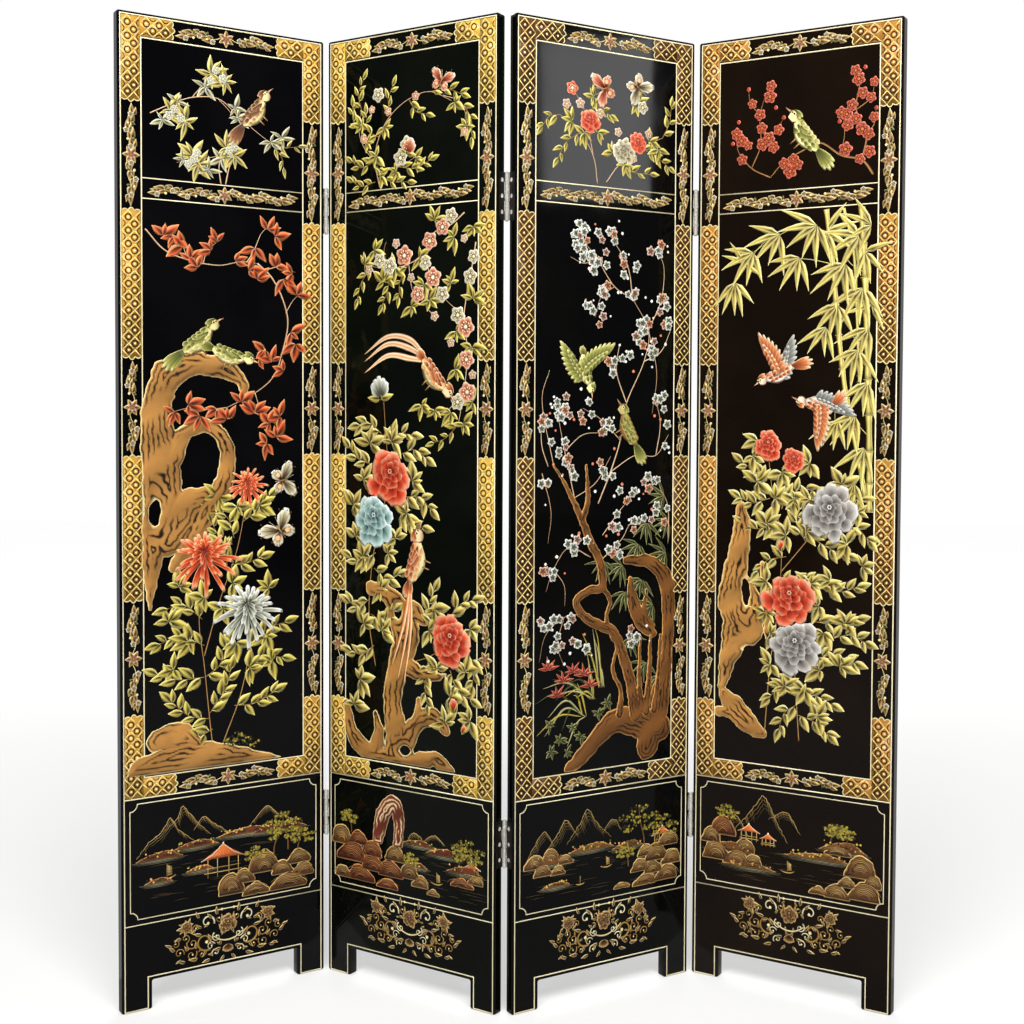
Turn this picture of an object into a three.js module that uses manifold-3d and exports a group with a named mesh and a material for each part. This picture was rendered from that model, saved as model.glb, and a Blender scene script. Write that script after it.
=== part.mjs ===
// A four-fold lacquer screen. Four tall panels stand in a zigzag and are joined
// edge to edge by pairs of butt hinges. Each panel is a hollow wooden frame of two
// stiles and three rails, faced front and back with a thin board. The stiles run
// down past the lowest rail and end as the panel's two feet.
//
// Millimetres, +Z up. The first panel starts at the left, the fronts face -Y, and
// the origin is on the floor below the middle of the standing screen.
// Inside a panel: x runs across it from its left edge, y from its front face to
// its back face, z up from the soles of its feet.

import * as THREE from 'three';
import { mergeVertices } from 'three/addons/utils/BufferGeometryUtils.js';
import Module from 'manifold-3d';

// ---- driving dimensions ----
const PANEL_HEIGHT = 1829; // 6 ft
const PANEL_WIDTH = 406; // 16 in
const BOARD_THICKNESS = 3.7;
const FRAME_THICKNESS = 11;
const SEAT_GAP = 0.3; // glue line or seat between two pieces that touch
const STILE_WIDTH = 57;
const FOOT_HEIGHT = 54;
const TOP_RAIL_HEIGHT = 60;
const WAIST_RAIL_HEIGHT = 48;
const WAIST_RAIL_DROP = 1404; // from the panel's top edge to the rail's top edge
const APRON_RAIL_HEIGHT = 70;
const OUTER_CORNER_RADIUS = 4;
const CUT_OUT_CORNER_RADIUS = 3;
const CORNER_STEPS = 3; // straight edges that stand for one rounded corner

const PANEL_YAW_DEG = [33.5, -34, 31.5, -32]; // each panel's turn in the standing zigzag

const HINGE_LENGTH = 87;
const HINGE_DROP = 327; // from the panel's top edge to the middle of the upper hinges
const HINGE_RISE = 316; // from the soles to the middle of the lower hinges
const BARREL_DIAMETER = 8.4;
const AXIS_PROUD = 2; // the pin's axis stands this far out of the face that folds shut
const LEAF_THICKNESS = 1.8;
const LEAF_EDGE_MARGIN = 1.5; // from the leaf's free edge to the far face of the panel
const KNUCKLE_GAP = 0.4; // along the pin, between neighbouring knuckles
const KNUCKLE_CLEARANCE = 0.5; // round the other leaf's knuckles
const KNUCKLE_COUNT = 5;
const PIN_DIAMETER = 4;
const PIN_CLEARANCE = 0.2; // radial
const PIN_HEAD_DIAMETER = 6.4;
const PIN_HEAD_HEIGHT = 1.8;
const PIN_CROWN_DIAMETER = 3.8; // the flat top of a pin's rounded head
const SCREW_PITCH = 29;
const SCREW_COUNT = 3;
const SCREW_HEAD_DIAMETER = 8.2;
const SCREW_SHANK_DIAMETER = 4.4;
const BARREL_SIDES = 16;
const HOLE_SIDES = 12;
const CUTTER_OVERRUN = 1; // how far a cutting shape runs past the faces it opens

// ---- sizes that follow from them ----
const panelThickness = FRAME_THICKNESS + 2 * (BOARD_THICKNESS + SEAT_GAP);
const frameFront = BOARD_THICKNESS + SEAT_GAP;
const backBoardFront = frameFront + FRAME_THICKNESS + SEAT_GAP;
const railLength = PANEL_WIDTH - 2 * (STILE_WIDTH + SEAT_GAP);
const barrelRadius = BARREL_DIAMETER / 2;
const halfGap = barrelRadius + SEAT_GAP; // from the pin's axis to the panel's edge face
const leafReach = AXIS_PROUD + panelThickness - LEAF_EDGE_MARGIN;
const screwLine = AXIS_PROUD + panelThickness / 2;
const hingeLevels = { upper: PANEL_HEIGHT - HINGE_DROP, lower: HINGE_RISE };

// ---- finishes ----
const lacquer = () =>
  new THREE.MeshStandardMaterial({ color: 0x0b0908, roughness: 0.12, metalness: 0 });
const darkPlate = () =>
  new THREE.MeshStandardMaterial({ color: 0x2b2926, roughness: 0.35, metalness: 1 });
const brightSteel = () =>
  new THREE.MeshStandardMaterial({ color: 0xc4c2bc, roughness: 0.22, metalness: 1 });

// ---- shape helpers ----

// A closed outline through corner points [x, z, radius], with rounded corners.
function roundedOutline(corners) {
  const points = [];
  corners.forEach(([x, z, radius], i) => {
    const corner = new THREE.Vector2(x, z);
    const [bx, bz] = corners[(i + corners.length - 1) % corners.length];
    const [ax, az] = corners[(i + 1) % corners.length];
    const back = new THREE.Vector2(bx, bz).sub(corner);
    const ahead = new THREE.Vector2(ax, az).sub(corner);
    const round = Math.min(radius, back.length() / 2, ahead.length() / 2);
    if (round <= 0) {
      points.push(corner);
      return;
    }
    const from = corner.clone().addScaledVector(back.normalize(), round);
    const to = corner.clone().addScaledVector(ahead.normalize(), round);
    const centre = from.clone().add(to).sub(corner);
    const start = Math.atan2(from.y - centre.y, from.x - centre.x);
    let turn = Math.atan2(to.y - centre.y, to.x - centre.x) - start;
    turn -= 2 * Math.PI * Math.round(turn / (2 * Math.PI));
    for (let step = 0; step <= CORNER_STEPS; step += 1) {
      const angle = start + (turn * step) / CORNER_STEPS;
      points.push(
        new THREE.Vector2(centre.x + round * Math.cos(angle), centre.y + round * Math.sin(angle)),
      );
    }
  });
  return new THREE.Shape(points);
}

// The outline stood upright and given its thickness, from y = 0 back to y = depth.
function uprightPlate(shape, depth) {
  const plate = new THREE.ExtrudeGeometry(shape, { depth, bevelEnabled: false });
  plate.rotateX(Math.PI / 2);
  plate.translate(0, depth, 0);
  return plate;
}

// An upright turned piece: [radius, height] points from bottom to top, closed on the axis.
function uprightTurning(profile, sides) {
  const turned = new THREE.LatheGeometry(
    profile.map(([radius, height]) => new THREE.Vector2(radius, height)),
    sides,
  );
  turned.rotateX(Math.PI / 2);
  return turned;
}

function uprightCylinder(radius, bottom, top, sides) {
  return uprightTurning([[0, bottom], [radius, bottom], [radius, top], [0, top]], sides);
}

// A block between two opposite corners.
function block(low, high) {
  const box = new THREE.BoxGeometry(high[0] - low[0], high[1] - low[1], high[2] - low[2]);
  box.translate((low[0] + high[0]) / 2, (low[1] + high[1]) / 2, (low[2] + high[2]) / 2);
  return box;
}

const solids = await Module();
solids.setup();

function toSolid(geometry) {
  const bare = geometry.clone();
  bare.deleteAttribute('normal');
  bare.deleteAttribute('uv');
  const merged = mergeVertices(bare, 1e-4);
  return new solids.Manifold(
    new solids.Mesh({
      numProp: 3,
      vertProperties: new Float32Array(merged.attributes.position.array),
      triVerts: new Uint32Array(merged.index.array),
    }),
  );
}

function toGeometry(solid) {
  const mesh = solid.getMesh();
  const geometry = new THREE.BufferGeometry();
  geometry.setAttribute('position', new THREE.BufferAttribute(mesh.vertProperties, 3));
  geometry.setIndex(new THREE.BufferAttribute(mesh.triVerts, 1));
  geometry.computeVertexNormals();
  return geometry;
}

function piece(name, geometry, material) {
  const mesh = new THREE.Mesh(geometry, material);
  mesh.name = name;
  return mesh;
}

// ---- one panel ----

// Both boards: the panel's whole outline, with the cut-out that leaves two feet.
function boardOutline() {
  const outer = OUTER_CORNER_RADIUS;
  const inner = CUT_OUT_CORNER_RADIUS;
  return roundedOutline([
    [0, 0, outer],
    [STILE_WIDTH, 0, inner],
    [STILE_WIDTH, FOOT_HEIGHT, inner],
    [PANEL_WIDTH - STILE_WIDTH, FOOT_HEIGHT, inner],
    [PANEL_WIDTH - STILE_WIDTH, 0, inner],
    [PANEL_WIDTH, 0, outer],
    [PANEL_WIDTH, PANEL_HEIGHT, outer],
    [0, PANEL_HEIGHT, outer],
  ]);
}

// A stile with its rounded outer edge at x = 0 and its inner edge towards +x.
function stileOutline() {
  return roundedOutline([
    [0, 0, OUTER_CORNER_RADIUS],
    [STILE_WIDTH, 0, CUT_OUT_CORNER_RADIUS],
    [STILE_WIDTH, PANEL_HEIGHT, 0],
    [0, PANEL_HEIGHT, OUTER_CORNER_RADIUS],
  ]);
}

function rail(name, bottom, height) {
  const bar = piece(
    name,
    block([0, 0, 0], [railLength, FRAME_THICKNESS, height]),
    lacquer(),
  );
  bar.position.set(STILE_WIDTH + SEAT_GAP, frameFront, bottom);
  return bar;
}

function makePanel(number) {
  const name = `panel_${number}`;
  const panel = new THREE.Group();

  const frontBoard = piece(
    `${name}_front_board`,
    uprightPlate(boardOutline(), BOARD_THICKNESS),
    lacquer(),
  );
  const backBoard = piece(
    `${name}_back_board`,
    uprightPlate(boardOutline(), BOARD_THICKNESS),
    lacquer(),
  );
  backBoard.position.y = backBoardFront;

  const leftStile = piece(
    `${name}_left_stile`,
    uprightPlate(stileOutline(), FRAME_THICKNESS),
    lacquer(),
  );
  leftStile.position.y = frameFront;
  const rightStile = piece(
    `${name}_right_stile`,
    uprightPlate(stileOutline(), FRAME_THICKNESS),
    lacquer(),
  );
  rightStile.position.set(PANEL_WIDTH, frameFront + FRAME_THICKNESS, 0);
  rightStile.rotation.z = Math.PI;

  panel.add(
    frontBoard,
    backBoard,
    leftStile,
    rightStile,
    rail(`${name}_top_rail`, PANEL_HEIGHT - TOP_RAIL_HEIGHT, TOP_RAIL_HEIGHT),
    rail(
      `${name}_waist_rail`,
      PANEL_HEIGHT - WAIST_RAIL_DROP - WAIST_RAIL_HEIGHT,
      WAIST_RAIL_HEIGHT,
    ),
    rail(`${name}_apron_rail`, FOOT_HEIGHT, APRON_RAIL_HEIGHT),
  );
  return panel;
}

// ---- one hinge ----
// Seen from above with the pin's axis at the origin, a leaf lies on one side of the
// barrel (side -1 is left), seated on the edge face of its panel, and reaches along +y.

const knucklePitch = (HINGE_LENGTH + KNUCKLE_GAP) / KNUCKLE_COUNT;
const knuckleLength = knucklePitch - KNUCKLE_GAP;

// The leaf holds the knuckles whose place is even, or those whose place is odd.
function hingeLeaf(side, holdsEven) {
  const bottom = -HINGE_LENGTH / 2;
  const seated = side * (halfGap - SEAT_GAP);
  const open = side * (halfGap - SEAT_GAP - LEAF_THICKNESS);
  let leaf = toSolid(
    block(
      [Math.min(seated, open), 0, bottom],
      [Math.max(seated, open), leafReach, bottom + HINGE_LENGTH],
    ),
  );

  for (let k = 0; k < KNUCKLE_COUNT; k += 1) {
    const low = bottom + k * knucklePitch;
    const high = low + knuckleLength;
    const holds = (k % 2 === 0) === holdsEven;
    if (holds) {
      leaf = leaf.add(toSolid(uprightCylinder(barrelRadius, low, high, BARREL_SIDES)));
    } else {
      const room = barrelRadius + KNUCKLE_CLEARANCE;
      leaf = leaf.subtract(
        toSolid(
          block(
            [-room, -room, low - KNUCKLE_GAP],
            [room, room, high + KNUCKLE_GAP],
          ),
        ),
      );
    }
  }

  const bore = PIN_DIAMETER / 2 + PIN_CLEARANCE;
  const boreEnd = HINGE_LENGTH / 2 + CUTTER_OVERRUN;
  leaf = leaf.subtract(toSolid(uprightCylinder(bore, -boreEnd, boreEnd, BARREL_SIDES)));

  for (let s = 0; s < SCREW_COUNT; s += 1) {
    const level = (s - (SCREW_COUNT - 1) / 2) * SCREW_PITCH;
    leaf = leaf.subtract(toSolid(countersink(side, level)));
  }
  return toGeometry(leaf);
}

// A cone-shaped hole through the leaf, widest on the face that shows.
function countersink(side, level) {
  const slope = (SCREW_HEAD_DIAMETER - SCREW_SHANK_DIAMETER) / 2 / LEAF_THICKNESS;
  const wide = SCREW_HEAD_DIAMETER / 2 + slope * CUTTER_OVERRUN;
  const narrow = SCREW_SHANK_DIAMETER / 2;
  const back = halfGap - SEAT_GAP; // the leaf's seated face, as far from the pin's axis
  const face = back - LEAF_THICKNESS;
  const cutter = new THREE.LatheGeometry(
    [
      new THREE.Vector2(0, face - CUTTER_OVERRUN),
      new THREE.Vector2(wide, face - CUTTER_OVERRUN),
      new THREE.Vector2(narrow, back),
      new THREE.Vector2(narrow, back + CUTTER_OVERRUN),
      new THREE.Vector2(0, back + CUTTER_OVERRUN),
    ],
    HOLE_SIDES,
  );
  cutter.rotateZ(-side * (Math.PI / 2));
  cutter.translate(0, screwLine, level);
  return cutter;
}

function hingePin() {
  const radius = PIN_DIAMETER / 2;
  const head = PIN_HEAD_DIAMETER / 2;
  const seat = HINGE_LENGTH / 2 + SEAT_GAP;
  const top = seat + PIN_HEAD_HEIGHT;
  const crown = PIN_CROWN_DIAMETER / 2;
  const shoulder = seat + PIN_HEAD_HEIGHT / 2;
  return uprightTurning(
    [[0, -top], [crown, -top], [head, -shoulder], [head, -seat], [radius, -seat],
      [radius, seat], [head, seat], [head, shoulder], [crown, top], [0, top]],
    BARREL_SIDES,
  );
}

// ---- the screen ----
// Each panel hangs on the one before it: a pivot stands on the pin's axis, turned by
// the fold between the two, and carries the next panel. The first and last joints
// have their barrels at the front and fold face to face, and the middle joint has
// its barrels at the back and folds back to back.

const joints = [
  { name: 'joint_12', atFront: true },
  { name: 'joint_23', atFront: false },
  { name: 'joint_34', atFront: true },
];

const radians = THREE.MathUtils.degToRad;
const screen = new THREE.Group();
let panel = makePanel(1);
panel.rotation.z = radians(PANEL_YAW_DEG[0]);
screen.add(panel);

joints.forEach(({ name, atFront }, i) => {
  const axisY = atFront ? -AXIS_PROUD : panelThickness + AXIS_PROUD;
  const hingeTurn = atFront ? 0 : Math.PI; // a hinge at the back is turned right round
  const pivot = new THREE.Group();
  pivot.position.set(PANEL_WIDTH + halfGap, axisY, 0);
  pivot.rotation.z = radians(PANEL_YAW_DEG[i + 1] - PANEL_YAW_DEG[i]);
  const nextPanel = makePanel(i + 2);
  nextPanel.position.set(halfGap, -axisY, 0);

  Object.entries(hingeLevels).forEach(([level, height]) => {
    const leftSide = atFront ? -1 : 1; // where the left panel's leaf lies in the turned hinge
    const leftLeaf = piece(`${name}_${level}_left_leaf`, hingeLeaf(leftSide, true), darkPlate());
    const rightLeaf = piece(`${name}_${level}_right_leaf`, hingeLeaf(-leftSide, false), darkPlate());
    const pin = piece(`${name}_${level}_pin`, hingePin(), brightSteel());
    [leftLeaf, pin].forEach((part) => {
      part.position.set(PANEL_WIDTH + halfGap, axisY, height);
      part.rotation.z = hingeTurn;
      panel.add(part);
    });
    rightLeaf.position.set(0, 0, height);
    rightLeaf.rotation.z = hingeTurn;
    pivot.add(rightLeaf);
  });

  pivot.add(nextPanel);
  panel.add(pivot);
  panel = nextPanel;
});

// The middle of the standing screen is brought over the origin.
screen.updateMatrixWorld(true);
const bounds = new THREE.Box3().setFromObject(screen, true);
const middle = bounds.getCenter(new THREE.Vector3());
screen.position.set(-middle.x, -middle.y, 0);

const group = new THREE.Group();
group.add(screen);
export default group;
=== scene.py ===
# %% [markdown]
# # A four-fold lacquer screen
#
# The real object is a folding screen of four wooden panels. Each one is covered with many coats of black
# lacquer, rubbed until they shine, and then painted in gold and colours: a gold border with a small ring
# pattern, birds and flowers in the tall field, and a river landscape in the low one. Six butt hinges join
# the panels into a zigzag.
#
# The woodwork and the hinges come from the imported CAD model. This lesson adds what the eye sees on top of
# it: the lacquer coat, the paint, the metal of the hinges and their screws.

import math
import random
from collections import namedtuple

import bpy
import numpy as np
from mathutils import Matrix, Vector


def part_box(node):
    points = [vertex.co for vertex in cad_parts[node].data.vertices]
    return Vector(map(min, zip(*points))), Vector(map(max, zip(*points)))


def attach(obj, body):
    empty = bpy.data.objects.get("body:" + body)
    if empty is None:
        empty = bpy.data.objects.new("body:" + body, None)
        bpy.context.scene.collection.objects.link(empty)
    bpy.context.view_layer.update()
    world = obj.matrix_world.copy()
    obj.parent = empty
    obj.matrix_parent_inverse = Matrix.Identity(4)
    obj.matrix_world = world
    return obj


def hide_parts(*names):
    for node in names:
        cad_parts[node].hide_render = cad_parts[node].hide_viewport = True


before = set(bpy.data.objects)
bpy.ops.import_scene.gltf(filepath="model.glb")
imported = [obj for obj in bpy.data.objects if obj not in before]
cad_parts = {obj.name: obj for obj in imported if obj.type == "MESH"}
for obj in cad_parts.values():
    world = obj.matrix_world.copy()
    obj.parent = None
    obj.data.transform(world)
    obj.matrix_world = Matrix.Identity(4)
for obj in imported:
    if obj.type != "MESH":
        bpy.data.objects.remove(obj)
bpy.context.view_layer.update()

# %% [markdown]
# ## Sizes and places
#
# A panel is drawn in its own millimetres: `s` runs to the right from the panel's left edge, `d` runs down
# from its top, and `h` stands out of its front face. One matrix for each panel then carries that drawing
# to where the panel stands in the zigzag. The numbers repeat the ones of the woodwork.

# %% Panel sizes, and the matrix of each panel
PANEL_WIDTH = 406.0
PANEL_HEIGHT = 1829.0
PANEL_THICKNESS = 19.0
FOOT_WIDTH = 57.0
FOOT_HEIGHT = 54.0
PANEL_PLACES = {"panel_1": (-707.4772, -116.6129, 33.5), "panel_2": (-359.2141, 107.4312, -34.0),
    "panel_3": (7.6582, -120.2619, 31.5), "panel_4": (363.5880, 91.8299, -32.0)}


def panel_matrix(panel):
    """From panel metres (right, back, up) to the row frame."""
    left, front, yaw = PANEL_PLACES[panel]
    move = Matrix.Translation((left / 1000, front / 1000, 0))
    return move @ Matrix.Rotation(math.radians(yaw), 4, "Z")


for panel in PANEL_PLACES:
    low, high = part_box(panel + "_front_board")
    print(panel, "front board from", [round(v, 3) for v in low], "to", [round(v, 3) for v in high])

# %% [markdown]
# ## Camera
#
# The photograph was taken from about chest height, nearly straight on, with its middle a little off the
# screen's own middle. A small lens shift gives that offset without turning the camera.

# %% Camera
CAMERA_PLACE = Vector((0.033461, -2.7705, 1.107587))
CAMERA_YAW = math.radians(0.89088)
CAMERA_PITCH = math.radians(-2.09495)
CAMERA_ROLL = math.radians(0.30312)
CAMERA_LENS = 51.311
SENSOR_WIDTH = 36.0
CAMERA_SHIFT = (-0.03784, -0.04343)

forward = Vector((math.sin(CAMERA_YAW) * math.cos(CAMERA_PITCH),
    math.cos(CAMERA_YAW) * math.cos(CAMERA_PITCH), math.sin(CAMERA_PITCH)))
level_right = Vector((math.cos(CAMERA_YAW), -math.sin(CAMERA_YAW), 0))
level_up = level_right.cross(forward)
camera_right = level_right * math.cos(CAMERA_ROLL) + level_up * math.sin(CAMERA_ROLL)
camera_up = level_up * math.cos(CAMERA_ROLL) - level_right * math.sin(CAMERA_ROLL)

camera_data = bpy.data.cameras.new("camera")
camera_data.lens = CAMERA_LENS
camera_data.sensor_width = SENSOR_WIDTH
camera_data.shift_x, camera_data.shift_y = CAMERA_SHIFT
camera = bpy.data.objects.new("camera", camera_data)
bpy.context.scene.collection.objects.link(camera)
camera.matrix_world = Matrix.Translation(CAMERA_PLACE) @ Matrix((camera_right, camera_up,
    -forward)).transposed().to_4x4()
bpy.context.scene.camera = camera
bpy.context.scene.view_settings.view_transform = "Standard"
print("camera at", tuple(round(v, 3) for v in CAMERA_PLACE))

# %% [markdown]
# ## Floor, backdrop and light
#
# Black gloss mirrors whatever stands in front of it, so a studio lights such a screen with two soft lamps
# set high, whose mirror images fall below the camera, and leaves the room itself dim. One smaller soft
# lamp on the right shows as the pale sheen at the top of the third panel, and a soft lamp behind lights
# the backs. The floor stays pale and catches the shadow. The background is white for camera rays, and for
# mirror and glass rays that run to the back of the studio.

# %% Floor
FLOOR_SIZE = 24.0
FLOOR_DROP = 0.0005
WHITE = (1, 1, 1, 1)


def select_nothing():
    """Object mode, with nothing selected, so that an operator acts on the new piece alone."""
    if bpy.context.object and bpy.context.object.mode != "OBJECT":
        bpy.ops.object.mode_set(mode="OBJECT")
    bpy.ops.object.select_all(action="DESELECT")


def new_material(name):
    """A material with its nodes, its links and its Principled shader."""
    material = bpy.data.materials.new(name)
    material.use_nodes = True
    tree = material.node_tree
    return material, tree.nodes, tree.links, tree.nodes["Principled BSDF"]


def set_inputs(node, **values):
    """Values for a node's inputs. A space in the name of an input is written as _ here."""
    for socket, value in values.items():
        node.inputs[socket.replace("_", " ")].default_value = value


def new_node(nodes, kind, operation=None, **values):
    """A shader node of one kind, with its operation and the values of some inputs."""
    node = nodes.new("ShaderNode" + kind)
    if operation:
        node.operation = operation
    set_inputs(node, **values)
    return node


def join(links, *wires):
    """Wires between nodes, each one as node, output, node, input."""
    for start, output, end, socket in wires:
        links.new(start.outputs[output], end.inputs[socket])


def mirrored_background(nodes, links, place):
    """1 for camera rays, and for mirror and glass rays that reach the back half of the studio."""
    path = new_node(nodes, "LightPath")
    axes = new_node(nodes, "SeparateXYZ")
    behind = new_node(nodes, "Math", "GREATER_THAN")
    behind.inputs[1].default_value = 0.0
    mirrored = new_node(nodes, "Math", "MAXIMUM")
    mirrored_behind = new_node(nodes, "Math", "MULTIPLY")
    shown = new_node(nodes, "Math", "MAXIMUM")
    links.new(place, axes.inputs[0])
    join(links, (axes, "Y", behind, 0), (path, "Is Glossy Ray", mirrored, 0), (path, "Is Transmission Ray",
        mirrored, 1), (mirrored, 0, mirrored_behind, 0), (behind, 0, mirrored_behind, 1),
        (path, "Is Camera Ray", shown, 0), (mirrored_behind, 0, shown, 1))
    return shown.outputs[0]


select_nothing()
bpy.ops.mesh.primitive_plane_add(size=FLOOR_SIZE, location=(0, 0, -FLOOR_DROP))
floor = bpy.context.object
floor.name = "studio_floor"

floor_paint, floor_nodes, floor_links, floor_shader = new_material("studio_floor")
set_inputs(floor_shader, Base_Color=(0.48, 0.48, 0.47, 1), Roughness=0.9, Specular_IOR_Level=0.1,
    Emission_Color=WHITE)
floor_place = new_node(floor_nodes, "TexCoord")
floor_far = new_node(floor_nodes, "VectorMath", "LENGTH")
floor_fade = new_node(floor_nodes, "MapRange", From_Min=1.0, From_Max=5.0, To_Min=0.45, To_Max=0.88)
floor_lift = new_node(floor_nodes, "Math", "MULTIPLY")
floor_shown = mirrored_background(floor_nodes, floor_links, floor_place.outputs["Object"])
floor_links.new(floor_shown, floor_lift.inputs[0])
join(floor_links, (floor_place, "Object", floor_far, 0), (floor_far, "Value", floor_fade, "Value"),
    (floor_fade, 0, floor_lift, 1), (floor_lift, 0, floor_shader, "Emission Strength"))
floor.data.materials.append(floor_paint)
print("floor", FLOOR_SIZE, "m square")

# %% Background
ROOM_LIGHT = 0.16

world = bpy.data.worlds.new("studio")
bpy.context.scene.world = world
world.use_nodes = True
world_nodes = world.node_tree.nodes
world_links = world.node_tree.links
room = world_nodes["Background"]
set_inputs(room, Color=WHITE, Strength=ROOM_LIGHT)
white = new_node(world_nodes, "Background", Color=WHITE, Strength=1.0)
world_place = new_node(world_nodes, "TexCoord")
world_mix = new_node(world_nodes, "MixShader")
world_shown = mirrored_background(world_nodes, world_links, world_place.outputs["Generated"])
world_links.new(world_shown, world_mix.inputs[0])
join(world_links, (room, 0, world_mix, 1), (white, 0, world_mix, 2), (world_mix, 0,
    world_nodes["World Output"], "Surface"))
print("room light", ROOM_LIGHT)

# %% Lamps
SCREEN_MIDDLE = Vector((0, 0, 0.95))


def add_lamp(name, place, width, height, power):
    """A soft rectangular lamp that faces the middle of the screen."""
    light = bpy.data.lights.new(name, "AREA")
    light.shape = "RECTANGLE"
    light.size = width
    light.size_y = height
    light.energy = power
    lamp = bpy.data.objects.new(name, light)
    bpy.context.scene.collection.objects.link(lamp)
    lamp.location = place
    lamp.rotation_euler = (SCREEN_MIDDLE - Vector(place)).to_track_quat("-Z", "Y").to_euler()
    return lamp


add_lamp("lamp_left", (-1.1, -3.2, 3.8), 1.6, 1.2, 150)
add_lamp("lamp_right", (1.1, -3.2, 3.8), 1.6, 1.2, 150)
add_lamp("lamp_sheen", (2.52, -1.10, 2.17), 0.40, 0.58, 7.0)
add_lamp("lamp_back", (0.0, 3.2, 3.0), 2.4, 1.6, 60)

# %% [markdown]
# ## Shared effects of the finishes
#
# Two small groups serve every finish. `rubbed_film` is the very slight waviness of a lacquer film that was
# rubbed by hand, with fine polishing marks, as a height and a roughness. `handled` is a soft mask of where
# hands, feet and dust have dulled a surface: it comes from noise on the object's own coordinates.

# %% Group: a hand-rubbed film
MARK_SHARE = 0.08


def new_group(name, outputs, **inputs):
    """An empty shader group, with its named outputs and the values of its named inputs."""
    group = bpy.data.node_groups.new(name, "ShaderNodeTree")
    for socket, value in inputs.items():
        made = group.interface.new_socket(socket.replace("_", " "), in_out="INPUT",
            socket_type="NodeSocketFloat")
        made.default_value = value
    for socket in outputs:
        group.interface.new_socket(socket, in_out="OUTPUT", socket_type="NodeSocketFloat")
    return group, group.nodes.new("NodeGroupInput"), group.nodes.new("NodeGroupOutput")


film, film_in, film_out = new_group("rubbed_film", ("Height", "Roughness"), Wave_Scale=9.0,
    Mark_Scale=420.0, Low_Roughness=0.03, High_Roughness=0.08)
film_place = new_node(film.nodes, "TexCoord")
film_wave = new_node(film.nodes, "TexNoise", Detail=2.0)
film_marks = new_node(film.nodes, "TexNoise", Detail=3.0)
film_sum = new_node(film.nodes, "Math", "MULTIPLY_ADD")
film_sum.inputs[1].default_value = MARK_SHARE
film_range = new_node(film.nodes, "MapRange", From_Min=0.35, From_Max=0.7)
join(film.links, (film_place, "Object", film_wave, "Vector"), (film_place, "Object", film_marks, "Vector"),
    (film_in, "Wave Scale", film_wave, "Scale"), (film_in, "Mark Scale", film_marks, "Scale"),
    (film_marks, "Fac", film_sum, 0), (film_wave, "Fac", film_sum, 2), (film_wave, "Fac", film_range,
    "Value"), (film_in, "Low Roughness", film_range, "To Min"), (film_in, "High Roughness", film_range,
    "To Max"), (film_sum, 0, film_out, "Height"), (film_range, 0, film_out, "Roughness"))
print("group", film.name)

# %% Group: handled and dusty places
handled, handled_in, handled_out = new_group("handled", ("Mask",), Scale=14.0, Start=0.55, Full=0.75)
handled_place = new_node(handled.nodes, "TexCoord")
handled_noise = new_node(handled.nodes, "TexNoise", Detail=5.0, Roughness=0.6)
handled_range = new_node(handled.nodes, "MapRange")
join(handled.links, (handled_place, "Object", handled_noise, "Vector"), (handled_in, "Scale",
    handled_noise, "Scale"), (handled_noise, "Fac", handled_range, "Value"), (handled_in, "Start",
    handled_range, "From Min"), (handled_in, "Full", handled_range, "From Max"),
    (handled_range, 0, handled_out, "Mask"))
print("group", handled.name)

# %% [markdown]
# ## Black lacquer
#
# The lacquer is nearly black with a trace of colour that differs from panel to panel, because each was
# rubbed down a little differently: the second is greenish and the fourth a warm brown black. A clear gloss
# with a low reflection keeps it deep black where it mirrors the dim room.

# %% Material: black lacquer
LACQUER_COLOURS = {"panel_1": ((0.0010, 0.0010, 0.0014), (0.0032, 0.0026, 0.0030)),
    "panel_2": ((0.0014, 0.0020, 0.0012), (0.0042, 0.0052, 0.0028)), "panel_3": ((0.0012, 0.0013, 0.0013),
    (0.0040, 0.0034, 0.0028)), "panel_4": ((0.0050, 0.0026, 0.0014), (0.0110, 0.0056, 0.0028))}


def place_group(nodes, group, **values):
    """A shader group in a material, with its own values."""
    node = new_node(nodes, "Group")
    node.node_tree = group
    set_inputs(node, **values)
    return node


def colour_mix(nodes, first, second):
    """A colour mix node between two fixed colours."""
    node = new_node(nodes, "Mix")
    node.data_type = "RGBA"
    node.inputs[6].default_value = (*first, 1)
    node.inputs[7].default_value = (*second, 1)
    return node


def add_bump(nodes, links, shader, film_node, strength, distance):
    """The height of a film, as a bump on its finish."""
    bump = new_node(nodes, "Bump", Strength=strength, Distance=distance)
    join(links, (film_node, "Height", bump, "Height"), (bump, "Normal", shader, "Normal"))


def lacquer_material(name, deep, lifted):
    """Deep black gloss, a little lifted where hands and dust have dulled it."""
    material, nodes, links, shader = new_material(name)
    set_inputs(shader, Specular_IOR_Level=0.11)
    film_node = place_group(nodes, film)
    worn = place_group(nodes, handled, Scale=3.5, Start=0.45, Full=0.8)
    tint = colour_mix(nodes, deep, lifted)
    join(links, (worn, "Mask", tint, 0), (tint, 2, shader, "Base Color"), (film_node, "Roughness", shader,
        "Roughness"))
    add_bump(nodes, links, shader, film_node, 0.02, 0.002)
    return material


lacquers = {panel: lacquer_material("black_lacquer_" + panel[-1], *colours) for panel,
    colours in LACQUER_COLOURS.items()}
print("lacquers:", [m.name for m in lacquers.values()])

# %% [markdown]
# ## The lacquer coat of a panel
#
# On the real screen the coat runs over boards, stiles and rails in one skin, so no joint between them
# shows. It is modelled once: a block of the panel's size, its cut-out between the feet taken away, the
# corners of its outline rounded, and then every edge softened, because thick lacquer never keeps a sharp
# arris. Four copies stand for the woodwork of the four panels.

# %% Model the coat once, in panel metres
OUTLINE_ROUNDING = 0.004
EDGE_SOFTNESS = 0.0014
FLAT_FACE = 0.001


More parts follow.
